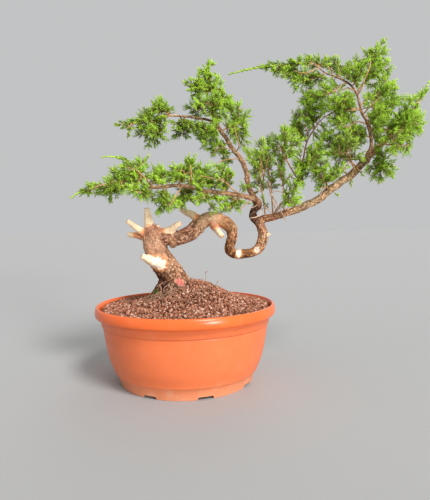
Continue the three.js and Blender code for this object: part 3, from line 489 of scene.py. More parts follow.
# The bark's look, 0 to 1, along each kind of limb: where along its points, then the values in this order
BARK_VALUES = ("flaky", "red", "gold", "pale", "tan")
BARK = {
    "trunk": [
        (0, 1, 0.4, 0.1, 0.2, 0), (2, 1, 0.3, 0.15, 0.6, 0), (3.2, 1, 0.2, 0.2, 0.88, 0.1),
        (4.4, 0.8, 0.15, 0.1, 0.8, 0.1), (5.2, 0.5, 0.2, 0, 0.80, 0.1), (6.5, 0.45, 0.25, 0, 0.82, 0.1),
        (7.2, 0.5, 0.75, 0.1, 0.85, 0), (8, 0.5, 0.8, 0.1, 0.85, 0),
    ],
    "winding": [
        (0, 0.8, 0.4, 0, 1, 0), (1.5, 0.95, 0.5, 0.05, 1, 0.1), (3, 0.95, 0.5, 0.05, 1, 0.1),
        (4, 0.9, 0.2, 0.1, 0.92, 0.3), (4.8, 0.3, 0, 0.1, 0.80, 0.5), (6.2, 0.22, 0.05, 0, 0.90, 0.4),
        (7, 0.3, 0.35, 0.4, 0.95, 0.1), (8.2, 0.8, 0.3, 0.6, 0.58, 0), (9, 1, 0.1, 0.6, 0.85, 0.1),
        (10, 1, 0.1, 0.7, 0.66, 0), (12, 1, 0.1, 0.9, 0.38, 0), (14, 1, 0.1, 0.9, 0.46, 0),
        (15.4, 0.9, 0.15, 0.3, 0.92, 0), (17, 0.9, 0.15, 0.15, 1, 0.15), (18.5, 0.85, 0.1, 0.1, 0.75, 0.2),
        (19, 0.85, 0.3, 0.1, 0.35, 0),
    ],
    "knuckle": [
        (0, 0.85, 0.3, 0.1, 0.3, 0), (1, 0.9, 0.35, 0.15, 0.06, 0), (2.5, 0.9, 0.35, 0.15, 0.12, 0),
        (3, 0.8, 0.3, 0.1, 0.5, 0),
    ],
    "right": [
        (0, 0.85, 0.5, 0.6, 0.8, 0), (2.5, 0.9, 0.4, 0.4, 0.9, 0.3), (4.5, 0.9, 0, 0.2, 0.95, 0.85),
        (10, 0.85, 0, 0.2, 0.9, 0.85),
    ],
    "low_left": [(0, 0.6, 0.4, 0.3, 0.75, 0.2), (2, 0.6, 0.3, 0.2, 0.97, 0.4), (6, 0.6, 0.2, 0.2, 1, 0.5)],
    "thin": [(0, 0.7, 0.5, 0.2, 0.5, 0.3), (2, 0.7, 0.3, 0.2, 0.8, 0.4), (8, 0.7, 0.1, 0.1, 0.95, 0.6)],
    "leader": [(0, 0.8, 0.3, 0.2, 0.80, 0.5), (4, 0.8, 0.15, 0.1, 0.92, 0.5), (8, 0.8, 0.3, 0.1, 1, 0.4)],
    "middle": [(0, 0.6, 0, 0.5, 0.9, 0.5), (7, 0.6, 0, 0.5, 1, 0.5)],
    "stub": [(0, 0.4, 0.75, 0.3, 0.9, 0)],
    "knot": [(0, 0.9, 0.25, 0.2, 0.7, 0.2), (1, 0.8, 0.2, 0.3, 0.9, 0.3)],
    "root": [(0, 1, 0.3, 0.1, 0.16, 0), (2, 1, 0.3, 0.1, 0.1, 0)],
}
# Limbs that look slimmer than their solids, in the shade of the crown, and their share of the solid's girth
SLIMMER = {"leader": 0.70, "middle": 0.62}

# Wounds as ovals on the side that the reference view shows: middle x and z, half width and half height, and
# tilt in degrees
SCARS = [(-36.5, 155.5, 10.6, 8.8, -20), (72.5, 168, 3.4, 7.4, -8), (97.5, 172, 4.4, 5.6, -25)]
RAW_SPOT = (-8, 129, 7.0, 4.8, -30)

# The dark side of the trunk's foot: a line from (x, z) to (x, z), and how far the darkness reaches
FOOT_SHADE = ((-45, 143), (-17, 119))
FOOT_SHADE_WIDTH = 11.0

# Moss cushions on the roots, as the x and z that show them, spread and number of shoots, then fine roots and
# dry stalks as (x, z, depth)
MOSS = [(-39.5, 115.5, 3.0, 150), (-44, 110, 2.4, 70), (-34, 112, 2.0, 60)]
FOOT_ROOTS = [
    [(-31.5, 111, -21), (-30.5, 117, -24), (-28, 123, -25), (-22, 123.5, -25), (-15, 118, -27)],
    [(-38, 119, -18), (-35, 125, -19), (-31, 129, -20), (-26, 130, -22)],
    [(-37, 110, -19), (-34, 116, -22), (-33, 121, -23), (-36, 126, -20)],
    [(-21, 122, -26), (-18, 116, -29), (-13.5, 110, -32)],
    [(-26, 117, -27), (-20, 114, -31), (-12, 114, -31), (-8, 109, -35)],
    [(-46, 116, -12), (-41, 121, -14), (-38, 128, -14)],
    [(-8, 121, -29), (-2, 117, -31), (4, 113, -34)],
]
STALKS = [
    [(27.6, 128, 0), (27.2, 136, 0), (27, 142, 0)], [(41, 121, -4), (42, 127, -6), (45, 131, -7)],
    [(14, 126, -14), (12, 131, -16), (9, 133, -18)],
]

# Grains of grit: kind, number, least and greatest radius, and how deep they sit. The grains are darker round
# one spot, given as x, y and a radius.
GRAINS = [("coarse", 4200, 1.05, 1.85, 0.3), ("fine", 5200, 0.7, 1.2, -0.1)]
DARK_GRAIN_SPOT = (-30, -22, 24)
GRAIN_TONE, GRAIN_TONE_SPREAD, BRIGHT_SHARE = 0.51, 0.28, 0.025

# Fine fibres: a tangle of short ones in the hollow at the left of the foot, and long ones all round
TANGLE_COUNT, FIBRE_COUNT = 54, 110

# The length of one scale on a leaf cord
SCALE_LENGTH = 1.3

GOLDEN_ANGLE = pi * (3 - 5**0.5)
BLACK, WHITE = (0, 0, 0), (1, 1, 1)


# Geometry helpers

def place(point):
    """The point that the reference view shows at x, z, slid along the line of sight to its depth."""
    x, z, depth = point[:3]
    stretch = (EYE_DISTANCE + depth) / EYE_DISTANCE
    return np.array([EYE_X + (x - EYE_X) * stretch, depth, EYE_Z + (z - EYE_Z) * stretch])


def unit(v):
    return v / np.linalg.norm(v, axis=-1, keepdims=True)


def circle(sides):
    return np.linspace(0, 2 * pi, sides, endpoint=False)


class Spline:
    """A Catmull-Rom curve through a limb's points, with its radius, as the CAD model runs it."""

    def __init__(self, points, seen=True):
        inner = np.array([place(p) if seen else p[:3] for p in points])
        self.points = np.vstack([2 * inner[0] - inner[1], inner, 2 * inner[-1] - inner[-2]])
        self.radii = np.array([p[3] for p in points], float)
        self.last = len(points) - 1

    def at(self, index):
        index = np.clip(np.asarray(index, float), 0, self.last)
        low = np.minimum(index.astype(int), self.last - 1)
        t = (index - low)[..., None]
        p0, p1, p2, p3 = (self.points[low + k] for k in range(4))
        v1 = (p2 - p0) / 2
        v2 = (p3 - p1) / 2
        return (2 * (p1 - p2) + v1 + v2) * t**3 + (3 * (p2 - p1) - 2 * v1 - v2) * t**2 + v1 * t + p1

    def tangent(self, index):
        step = 1e-3
        return unit(self.at(np.asarray(index) + step) - self.at(np.asarray(index) - step))

    def radius(self, index):
        return np.interp(index, np.arange(self.last + 1), self.radii)


class Bend:
    """A stem's curve from root to tip, which leaves along start and sways a little on its way."""

    def __init__(self, root, start, tip, rng):
        span = np.linalg.norm(tip - root)
        knee = root + 0.35 * (tip - root) + 0.22 * span * start
        self.points = (root, knee, tip)
        self.sways = rng.normal(0, 0.022 * span, (2, 3))

    def at(self, t):
        t = np.asarray(t, float)[..., None]
        a, b, c = self.points
        sway = self.sways[0] * np.sin(2 * pi * t) + self.sways[1] * np.sin(3 * pi * t) * 0.6
        return (1 - t) ** 2 * a + 2 * t * (1 - t) * b + t**2 * c + sway

    def tangent(self, t):
        t = np.asarray(t, float)
        return unit(self.at(t + 0.01) - self.at(t - 0.01))

    def length(self):
        return np.linalg.norm(np.diff(self.at(np.linspace(0, 1, 12)), axis=0), axis=1).sum()


def hashed(cell, seed):
    """A repeatable value from -1 to 1 for each row of whole numbers."""
    mixed = cell[:, 0] * 374761393 + cell[:, 1] * 668265263 + cell[:, 2] * 1440670441 + seed * 97
    mixed = mixed & 0xFFFFFFFF
    mixed = ((mixed ^ (mixed >> 13)) * 1274126177) & 0xFFFFFFFF
    return (mixed ^ (mixed >> 16)) / 0x7FFFFFFF - 1


def value_noise(points, seed=0):
    """Smooth noise from -1 to 1 at each row of an (n, 3) array, one lump a unit."""
    cell = np.floor(points).astype(np.int64)
    f = points - cell
    f = f * f * (3 - 2 * f)
    total = np.zeros(len(points))
    for corner in np.ndindex(2, 2, 2):
        total += np.prod(np.where(corner, f, 1 - f), axis=1) * hashed(cell + corner, seed)
    return total


def plates(points, seed):
    """Uneven plates, one a unit: the value of each point's plate, and how far inside the plate it is."""
    cell = np.floor(points).astype(np.int64)
    near = np.full(len(points), 9.0)
    following = np.full(len(points), 9.0)
    value = np.zeros(len(points))
    for step in np.ndindex(3, 3, 3):
        c = cell + np.array(step) - 1
        spot = c + 0.5 + 0.42 * np.stack([hashed(c, seed + k) for k in range(3)], axis=1)
        away = np.linalg.norm(points - spot, axis=1)
        following = np.minimum(following, np.maximum(near, away))
        value = np.where(away < near, hashed(c, seed + 3), value)
        near = np.minimum(near, away)
    return value, following - near


def frames_along(centres, first_side=(0.0, 1.0, 0.0)):
    """Tangents, sides and across directions for a row of centres, carried along without twist."""
    tangents = unit(np.gradient(centres, axis=0))
    sides = np.empty_like(centres)
    side = np.array(first_side)
    for i, t in enumerate(tangents):
        side = unit(side - np.dot(side, t) * t)
        sides[i] = side
    return tangents, sides, np.cross(tangents, sides)


class Shape:
    """Vertices, faces and per-vertex values that grow piece by piece into one mesh."""

    def __init__(self):
        self.vertices, self.triangles, self.quads, self.values = [], [], [], {}
        self.count = 0

    def add(self, vertices, triangles=(), quads=(), **values):
        vertices = np.asarray(vertices, float).reshape(-1, 3)
        self.vertices.append(vertices)
        if len(triangles):
            self.triangles.append(np.asarray(triangles, np.int64).reshape(-1, 3) + self.count)
        if len(quads):
            self.quads.append(np.asarray(quads, np.int64).reshape(-1, 4) + self.count)
        for name, value in values.items():
            self.values.setdefault(name, []).append(np.broadcast_to(value, len(vertices)).astype(float))
        self.count += len(vertices)

    def mesh(self, name):
        points = np.vstack(self.vertices) * MM + AXIS
        corners, sizes = [], []
        for faces, size in ((self.triangles, 3), (self.quads, 4)):
            if faces:
                joined = np.vstack(faces)
                corners.append(joined.ravel())
                sizes.append(np.full(len(joined), size))
        corners, sizes = np.concatenate(corners), np.concatenate(sizes)
        mesh = bpy.data.meshes.new(name)
        mesh.vertices.add(len(points))
        mesh.vertices.foreach_set("co", points.ravel())
        mesh.loops.add(len(corners))
        mesh.loops.foreach_set("vertex_index", corners.astype(np.int32))
        mesh.polygons.add(len(sizes))
        starts = np.concatenate([[0], np.cumsum(sizes)[:-1]])
        mesh.polygons.foreach_set("loop_start", starts.astype(np.int32))
        mesh.update(calc_edges=True)
        for value_name, parts in self.values.items():
            attribute = mesh.attributes.new(value_name, "FLOAT", "POINT")
            attribute.data.foreach_set("value", np.concatenate(parts).astype(np.float32))
        return mesh


def linked(name, data):
    """A new object in the scene."""
    made = bpy.data.objects.new(name, data)
    bpy.context.scene.collection.objects.link(made)
    return made


def shown(name, mesh, material, slot, *nodes, smooth=True):
    """Adds a finished piece to the scene. It rides on the root and stands for the CAD nodes given."""
    piece = linked(name, mesh)
    mesh.polygons.foreach_set("use_smooth", np.full(len(mesh.polygons), smooth))
    mesh.materials.append(material)
    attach(piece, "root")
    if nodes:
        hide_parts(*nodes)
    return piece


def ring_quads(rings, sides):
    """Faces between rings of a tube, each ring's vertices in one run."""
    k = np.arange(sides)
    after = (k + 1) % sides
    base = np.arange(rings - 1)[:, None] * sides
    return np.stack([base + k, base + after, base + sides + after, base + sides + k], axis=-1).reshape(-1, 4)


def cap_triangles(ring, centre):
    """Faces from a ring's vertex numbers to a centre vertex."""
    return [(ring[i], ring[(i + 1) % len(ring)], centre) for i in range(len(ring))]


def add_rings(shape, rings, ends, **values):
    """A closed tube from its rings of vertices and the two points in the middle of its ends."""
    count, sides = rings.shape[:2]
    caps = cap_triangles(list(range(sides))[::-1], count * sides)
    caps += cap_triangles(list(range((count - 1) * sides, count * sides)), count * sides + 1)
    vertices = np.vstack([rings.reshape(-1, 3), *ends])
    shape.add(vertices, triangles=caps, quads=ring_quads(count, sides), **values)


def spokes(side, across, angle):
    """For each centre of a tube, the way out to each vertex of its ring."""
    return side[:, None] * np.cos(angle)[:, None] + across[:, None] * np.sin(angle)[:, None]


def add_tube(shape, centres, radii, sides, **values):
    """A round tube with closed, slightly domed ends along a row of centres."""
    tangents, side, across = frames_along(centres)
    rings = centres[:, None] + np.asarray(radii, float)[:, None, None] * spokes(side, across, circle(sides))
    dome = 0.5
    ends = (centres[0] - tangents[0] * radii[0] * dome, centres[-1] + tangents[-1] * radii[-1] * dome)
    for name, value in values.items():
        if np.ndim(value):
            values[name] = np.concatenate([np.repeat(value, sides), [value[0], value[-1]]])
    add_rings(shape, rings, ends, **values)


# Materials. Each one is built from nodes, with the values that stay the same set on the shader itself.

def new_material(name, roughness, specular=0.5):
    material = bpy.data.materials.new(name)
    material.use_nodes = True
    tree = material.node_tree
    shader = tree.nodes["Principled BSDF"]
    shader.inputs["Roughness"].default_value = roughness
    shader.inputs["Specular IOR Level"].default_value = specular
    return material, tree, shader


def node(tree, kind, **inputs):
    made = tree.nodes.new(kind)
    for name, value in inputs.items():
        socket = made.inputs[name.replace("_", " ")]
        if isinstance(value, bpy.types.NodeSocket):
            tree.links.new(value, socket)
        else:
            socket.default_value = value
    return made


def noise(tree, scale, detail=3.0, vector=None, roughness=0.55):
    made = node(tree, "ShaderNodeTexNoise", Scale=scale, Detail=detail, Roughness=roughness)
    if vector is None:
        vector = tree.nodes.new("ShaderNodeTexCoord").outputs["Object"]
    tree.links.new(vector, made.inputs["Vector"])
    return made.outputs["Fac"]


def ramp(tree, value, *stops):
    """A colour ramp with stops as (place, (r, g, b))."""
    made = tree.nodes.new("ShaderNodeValToRGB")
    elements = made.color_ramp.elements
    while len(elements) < len(stops):
        elements.new(0.5)
    for element, (position, colour) in zip(elements, stops):
        element.position = position
        element.color = (*colour, 1)
    tree.links.new(value, made.inputs["Fac"])
    return made.outputs["Color"]


def mix(tree, amount, a, b, blend="MIX"):
    made = tree.nodes.new("ShaderNodeMix")
    made.data_type = "RGBA"
    made.blend_type = blend
    made.clamp_factor = True
    sockets = {s.identifier: s for s in made.inputs}
    for key, value in (("Factor_Float", amount), ("A_Color", a), ("B_Color", b)):
        if isinstance(value, bpy.types.NodeSocket):
            tree.links.new(value, sockets[key])
        else:
            sockets[key].default_value = value if key == "Factor_Float" else (*value, 1)
    return next(s for s in made.outputs if s.identifier == "Result_Color")


def value_of(tree, name):
    made = tree.nodes.new("ShaderNodeAttribute")
    made.attribute_name = name
    return made.outputs["Fac"]


def math_node(tree, operation, a, b, clamp=True):
    made = tree.nodes.new("ShaderNodeMath")
    made.operation = operation
    made.use_clamp = clamp
    for socket, value in zip(made.inputs, (a, b)):
        if isinstance(value, bpy.types.NodeSocket):
            tree.links.new(value, socket)
        else:
            socket.default_value = value
    return made.outputs[0]


def times(tree, a, b):
    return math_node(tree, "MULTIPLY", a, b)


def bump(tree, shader, height, distance, strength=1.0):
    made = node(tree, "ShaderNodeBump", Height=height, Distance=distance, Strength=strength)
    tree.links.new(made.outputs["Normal"], shader.inputs["Normal"])


def pot_material():
    """Moulded plastic: a clean glossy rim, a slightly blotched wall, and a paler foot, partly dusty and
    partly painted light against the foot's shade.
    """
    material, tree, shader = new_material("terracotta_plastic", 0.36, 0.3)
    parts = tree.nodes.new("ShaderNodeSeparateXYZ")
    tree.links.new(tree.nodes.new("ShaderNodeTexCoord").outputs["Object"], parts.inputs["Vector"])
    level = math_node(tree, "MULTIPLY", parts.outputs["Z"], 1 / (POT_HEIGHT * MM))
    # The stops low down are paler: painted light that offsets the shade on the foot
    by_height = ramp(
        tree, level,
        (0.0, (0.80, 0.30, 0.15)), (0.15, (0.80, 0.245, 0.105)), (0.17, (0.79, 0.190, 0.066)),
        (0.84, (0.79, 0.175, 0.057)), (0.88, (0.80, 0.145, 0.032)),
    )
    blotches = ramp(tree, noise(tree, 22, 5), (0.3, (0.90, 0.86, 0.83)), (0.7, WHITE))
    tone = mix(tree, 1.0, by_height, blotches, "MULTIPLY")
    # Pale spots towards the foot: dusty, and partly painted light against its shade
    dust_and_light = ramp(tree, noise(tree, 70, 6), (0.52, BLACK), (0.72, WHITE))
    low_down = ramp(tree, level, (0.05, (0.4, 0.4, 0.4)), (0.22, (0.04, 0.04, 0.04)))
    coloured = mix(tree, times(tree, dust_and_light, low_down), tone, (0.74, 0.50, 0.36))
    tree.links.new(coloured, shader.inputs["Base Color"])
    wall = ramp(tree, noise(tree, 45, 5), (0.3, (0.34, 0.34, 0.34)), (0.75, (0.48, 0.48, 0.48)))
    rough = mix(tree, ramp(tree, level, (0.84, BLACK), (0.88, WHITE)), wall, (0.25, 0.25, 0.25))
    tree.links.new(rough, shader.inputs["Roughness"])
    bump(tree, shader, noise(tree, 900, 2), 0.00008, 0.5)
    return material


def attribute_vector(tree, name, scale):
    made = tree.nodes.new("ShaderNodeAttribute")
    made.attribute_name = name
    scaled = tree.nodes.new("ShaderNodeVectorMath")
    scaled.operation = "MULTIPLY"
    tree.links.new(made.outputs["Vector"], scaled.inputs[0])
    scaled.inputs[1].default_value = scale
    return scaled.outputs["Vector"]


def flakes(tree, vector, feature):
    """Uneven flakes, one a unit of the vector: each one's own value, or how far a point is from its edge."""
    warp = node(tree, "ShaderNodeTexNoise", Scale=1.3, Detail=2.0)
    tree.links.new(vector, warp.inputs["Vector"])
    shifted = tree.nodes.new("ShaderNodeVectorMath")
    shifted.operation = "MULTIPLY_ADD"
    tree.links.new(warp.outputs["Color"], shifted.inputs[0])
    shifted.inputs[1].default_value = (0.9, 0.9, 0.9)
    tree.links.new(vector, shifted.inputs[2])
    made = tree.nodes.new("ShaderNodeTexVoronoi")
    made.feature = feature
    tree.links.new(shifted.outputs["Vector"], made.inputs["Vector"])
    made.inputs["Scale"].default_value = 1.0
    if feature == "DISTANCE_TO_EDGE":
        return made.outputs["Distance"]
    parts = tree.nodes.new("ShaderNodeSeparateColor")
    tree.links.new(made.outputs["Color"], parts.inputs["Color"])
    return parts.outputs["Red"]


def bark_material():
    """Bark in the tones that the values of each place call for: grey-brown, red, golden or tan, from dark to
    pale, in flakes with dark gaps. Dead wood is cream, wounds are pale with an orange callus, and one spot is
    raw."""
    material, tree, shader = new_material("juniper_bark", 0.85, 0.15)
    along = attribute_vector(tree, "grain", (1.0, 1.0, 0.3))
    streaks = noise(tree, 0.9, 5, along, 0.7)
    patches = noise(tree, 0.11, 4, attribute_vector(tree, "grain", (1.0, 1.0, 0.6)), 0.6)
    fine = noise(tree, 2.2, 4, attribute_vector(tree, "grain", (1.0, 1.0, 0.22)))
    cells = attribute_vector(tree, "grain", (0.42, 0.42, 0.24))
    own_tone = flakes(tree, cells, "F1")
    gap = flakes(tree, cells, "DISTANCE_TO_EDGE")
    flaky, red, gold = (value_of(tree, name) for name in ("flaky", "red", "gold"))
    reddish = times(tree, red, ramp(tree, patches, (0.45, BLACK), (0.62, WHITE)))
    golden = times(tree, gold, ramp(tree, own_tone, (0.25, BLACK), (0.7, WHITE)))
    bark = mix(tree, red, (0.91, 0.52, 0.31), (0.88, 0.40, 0.27))
    bark = mix(tree, value_of(tree, "tan"), bark, (0.88, 0.68, 0.41))
    bark = mix(tree, times(tree, gold, 0.7), bark, (0.88, 0.35, 0.10))
    bark = mix(tree, reddish, bark, (0.80, 0.28, 0.19))
    bark = mix(tree, golden, bark, (0.94, 0.46, 0.14))
    paleness = ramp(
        tree, value_of(tree, "pale"),
        (0.0, (0.11, 0.07, 0.055)), (0.5, (0.60, 0.56, 0.53)), (0.9, WHITE),
    )
    bark = mix(tree, 1.0, bark, paleness, "MULTIPLY")
    blotch = ramp(
        tree, value_of(tree, "plate"),
        (0.1, (0.58, 0.51, 0.47)), (0.45, (0.91, 0.89, 0.87)), (0.7, WHITE),
    )
    bark = mix(tree, flaky, bark, mix(tree, 1.0, bark, blotch, "MULTIPLY"))
    tones = ramp(tree, own_tone, (0.08, (0.46, 0.37, 0.32)), (0.3, (0.89, 0.86, 0.83)), (0.5, WHITE))
    bark = mix(tree, flaky, bark, mix(tree, 1.0, bark, tones, "MULTIPLY"))
    light = times(tree, ramp(tree, own_tone, (0.72, BLACK), (0.86, WHITE)), flaky)
    bark = mix(tree, times(tree, light, 0.45), bark, (0.95, 0.70, 0.48))
    speckle = ramp(tree, streaks, (0.28, (0.48, 0.41, 0.37)), (0.40, (0.91, 0.89, 0.88)), (0.50, WHITE))
    bark = mix(tree, 1.0, bark, speckle, "MULTIPLY")
    between = times(tree, ramp(tree, gap, (0.02, WHITE), (0.10, BLACK)), flaky)
    bark = mix(tree, times(tree, between, 0.8), bark, (0.07, 0.028, 0.016))
    bark = mix(tree, times(tree, value_of(tree, "crack"), 0.85), bark, (0.05, 0.020, 0.012))

    cream = ramp(
        tree, fine,
        (0.34, (0.70, 0.31, 0.13)), (0.43, (0.98, 0.66, 0.38)), (0.55, (1.0, 0.86, 0.61)),
    )
    edge = math_node(tree, "ADD", value_of(tree, "dead"), times(tree, fine, 0.25))
    coloured = mix(tree, ramp(tree, edge, (0.26, BLACK), (0.40, WHITE)), bark, (0.86, 0.33, 0.13))
    coloured = mix(tree, ramp(tree, edge, (0.46, BLACK), (0.80, WHITE)), coloured, cream)
    callus = mix(tree, fine, (0.56, 0.19, 0.06), (0.88, 0.46, 0.23))
    coloured = mix(tree, times(tree, value_of(tree, "callus"), 0.9), coloured, callus)
    coloured = mix(tree, value_of(tree, "white"), coloured, (0.95, 0.84, 0.67))
    raw = mix(tree, ramp(tree, streaks, (0.4, BLACK), (0.6, WHITE)), (0.62, 0.08, 0.08), (0.86, 0.40, 0.30))
    coloured = mix(tree, value_of(tree, "raw"), coloured, raw)
    tree.links.new(coloured, shader.inputs["Base Color"])
    raised = times(tree, ramp(tree, gap, (0.0, BLACK), (0.18, WHITE)), flaky)
    height = math_node(tree, "ADD", times(tree, streaks, 0.4), times(tree, fine, 0.25))
    height = math_node(tree, "ADD", height, times(tree, raised, 0.35))
    bump(tree, shader, height, 0.0012, 0.9)
    return material


def mottled_material(name, roughness, specular, scale, detail, *stops):
    """A material whose colour is a ramp over noise."""
    material, tree, shader = new_material(name, roughness, specular)
    tree.links.new(ramp(tree, noise(tree, scale, detail), *stops), shader.inputs["Base Color"])
    return material, tree, shader


def leaf_material():
    """Scale leaf: deep green inside, yellow-green outside, pale at the growing tips, tan where it turns
    woody. Its freshness value below 0 makes it darker, partly for older inner foliage and partly as painted
    shade inside the crown."""
    material, tree, shader = new_material("juniper_scale_leaf", 0.55, 0.15)
    green = ramp(
        tree, value_of(tree, "tone"),
        (0.0, (0.018, 0.052, 0.003)), (0.35, (0.072, 0.215, 0.007)), (0.7, (0.19, 0.46, 0.016)),
        (1.0, (0.36, 0.68, 0.04)),
    )
    # Painted shade: a freshness value below 0 darkens the green, partly for older inner foliage
    shaded = mix(tree, times(tree, value_of(tree, "fresh"), -1.0), green, (0.022, 0.055, 0.004))
    fresh = mix(tree, times(tree, value_of(tree, "fresh"), 1.0), shaded, (0.63, 0.86, 0.09))
    turns = math_node(tree, "MULTIPLY", value_of(tree, "run"), 2 * pi / SCALE_LENGTH, False)
    wave = math_node(tree, "SINE", turns, 0, False)
    scales = math_node(tree, "ADD", math_node(tree, "MULTIPLY", wave, 0.5, False), 0.5)
    fresh = mix(tree, 0.35, fresh, mix(tree, scales, (0.55, 0.60, 0.50), WHITE), "MULTIPLY")
    wood = ramp(
        tree, noise(tree, 300, 3),
        (0.3, (0.40, 0.185, 0.070)), (0.7, (0.74, 0.44, 0.20)),
    )
    aged = mix(tree, value_of(tree, "age"), fresh, wood)
    tree.links.new(aged, shader.inputs["Base Color"])
    shader.inputs["Subsurface Weight"].default_value = 0.12
    shader.inputs["Subsurface Radius"].default_value = (0.0006, 0.0010, 0.0003)
    bump(tree, shader, scales, 0.0002, 0.6)
    return material


def grit_material():
    material, tree, shader = new_material("volcanic_grit", 0.93, 0.15)
    colour = ramp(
        tree, value_of(tree, "tone"),
        (0.0, (0.100, 0.030, 0.012)), (0.25, (0.27, 0.095, 0.046)), (0.5, (0.42, 0.175, 0.102)),
        (0.75, (0.57, 0.270, 0.170)), (1.0, (0.77, 0.49, 0.37)),
    )
    speckle = ramp(tree, noise(tree, 1500, 2), (0.35, (0.60, 0.56, 0.54)), (0.65, WHITE))
    tree.links.new(mix(tree, 1.0, colour, speckle, "MULTIPLY"), shader.inputs["Base Color"])
    bump(tree, shader, noise(tree, 2200, 3), 0.0003, 0.8)
    return material


def soil_material():
    material, tree, shader = mottled_material(
        "damp_fines", 0.97, 0.1, 420, 5,
        (0.3, (0.040, 0.014, 0.007)), (0.6, (0.13, 0.046, 0.024)), (0.8, (0.24, 0.098, 0.056)),
    )
    bump(tree, shader, noise(tree, 700, 4), 0.0008)
    return material


# Pot

# The pot's section as radius, height and the fillet at that corner
POT_SECTION = [
    (0, FLOOR_UNDERSIDE, 0), (FOOT_RADIUS - FOOT_RING, FLOOR_UNDERSIDE, 1.2),
    (FOOT_RADIUS - FOOT_RING, 0.05, 0.6), (FOOT_RADIUS, 0.05, 0.8), (91.8, 14.6, 0.5), (95.2, 15.6, 1.2),
    (96.4, 19.5, 6), (101.4, 31, 20), (106.2, 51, 40), (109.6, 75.2, 1.2), (109.2, 76.5, 0.4),
    (111.3, 77.2, 0.6), (112.6, 88.6, 1.4), (118.7, 89.1, 1.0), (119.7, 91.2, 1), (119.9, 95.6, 3),
    (118.8, 99.9, 2), (117.2, 101.9, 1.2), (115.8, 101.9, 0.9), (114.2, 98.5, 3), (110.9, 87, 3),
    (108, 76, 8), (103.6, 51, 40), (98.8, 31, 20), (93, 19.5, 6), (89, 14.5, 4), (86, FLOOR_TOP, 1.5),
    (0, FLOOR_TOP, 0),
]
POT_SIDES = 144
NOTCH_CORNER = 2.2


def filleted(section):
    """The section as (r, z) points, each corner rounded by an arc-like bend of about its radius."""
    points = []
    for i, (r, z, radius) in enumerate(section):
        corner = np.array([r, z])
        if radius == 0:
            points.append(corner)
            continue
        before = np.array(section[i - 1][:2]) - corner
        after = np.array(section[i + 1][:2]) - corner
        reach = min(radius, 0.45 * np.linalg.norm(before), 0.45 * np.linalg.norm(after))
        start = corner + unit(before) * reach
        end = corner + unit(after) * reach
        steps = 2 + (radius >= 0.7) + (radius >= 5)
        for t in np.linspace(0, 1, steps):
            points.append((1 - t) ** 2 * start + 2 * t * (1 - t) * corner + t**2 * end)
    return np.array(points)


def make_pot():
    """The pot's section turned round its axis, with the notches and the drain holes cut out."""
    angle = circle(POT_SIDES)
    around = np.stack([np.cos(angle), np.sin(angle)], axis=1)
    inner = filleted(POT_SECTION)[1:-1]
    height = np.broadcast_to(inner[:, None, 1:], (len(inner), POT_SIDES, 1))
    rings = np.concatenate([inner[:, None, :1] * around[None], height], axis=2)
    shape = Shape()
    add_rings(shape, rings, [(0, 0, FLOOR_UNDERSIDE), (0, 0, FLOOR_TOP)])
    pot = linked("pot_body", shape.mesh("pot_body"))
    cutter = Shape()
    for i in range(NOTCH_COUNT):
        turn = NOTCH_FIRST + i * 2 * pi / NOTCH_COUNT
        add_notch(cutter, turn)
    for i in range(DRAIN_COUNT):
        turn = (i + 0.5) * 2 * pi / DRAIN_COUNT
        foot = np.array([DRAIN_RING * cos(turn), DRAIN_RING * sin(turn), 0])
        centres = foot + np.array([[0, 0, z] for z in (0, 4, 9, 14)])
        add_tube(cutter, centres, [DRAIN_RADIUS] * 4, 24)
    tool = linked("pot_cutter", cutter.mesh("pot_cutter"))
    cut = pot.modifiers.new("cut", "BOOLEAN")
    cut.object = tool
    cut.solver = "EXACT"
    mesh = baked(pot, "pot_shell")
    bpy.data.objects.remove(tool)
    bpy.data.objects.remove(pot)
    mesh.set_sharp_from_angle(angle=radians(35))
    shown("pot_shell", mesh, pot_material(), "pot_plastic", "pot")


def add_notch(shape, turn):
    """An arched notch across the foot ring, as a prism with a rounded top."""
    half = NOTCH_WIDTH / 2
    inset = half - NOTCH_CORNER
    below = -2
    outline = [(-half, below)]
    for middle, first, last in ((-inset, pi, pi / 2), (inset, pi / 2, 0)):
        for a in np.linspace(first, last, 6):
            high = NOTCH_HEIGHT - NOTCH_CORNER + NOTCH_CORNER * sin(a)
            outline.append((middle + NOTCH_CORNER * cos(a), high))
    outline.append((half, below))
    near, far = -FOOT_RADIUS - 6, -FOOT_RADIUS + FOOT_RING + 5
    spin = np.array([[cos(turn), -sin(turn)], [sin(turn), cos(turn)]])
    rings = np.array([[[*(spin @ (x, y)), z] for x, z in outline] for y in (near, far)])
    add_rings(shape, rings, rings.mean(axis=1))


def baked(piece, name):
    """A new mesh of the object with its modifiers applied."""
    graph = bpy.context.evaluated_depsgraph_get()
    mesh = bpy.data.meshes.new_from_object(piece.evaluated_get(graph))
    mesh.name = name
    return mesh


# Wood

VOXEL = 0.98
# Limbs run their own grain, which starts this far on from the last limb's
RUN_APART = 400.0
# Slim limbs stray from their line, by this share of their girth
STRAYING = ("thin", "leader", "middle", "low_left", "right")
STRAY = 0.28
# How uneven a limb's girth is, by kind, and what the other kinds have
LUMPS = {"trunk": 0.10, "winding": 0.12, "stub": 0.10}
OTHER_LUMPS = 0.09
# Bumps and stubs of lost twigs, by kind: their spacing, and their girth and how far they stand out, as shares
# of the limb's
SLIM_NUBS = (13, 0.5, 0.55)
NUBS = {
    "trunk": (11, 0.22, 0.10), "winding": (9, 0.34, 0.16), "right": (9, 0.42, 0.3),
    "knuckle": (6, 0.4, 0.25), "low_left": (12, 0.5, 0.5),
    "thin": SLIM_NUBS, "leader": SLIM_NUBS, "middle": SLIM_NUBS,
}
# Bark plates on the trunk, as wide, deep and long, and how wide the cracks are, as a share of a plate
PLATE_SIZE = (3.3, 3.3, 6.0)
CRACK_WIDTH = 0.14


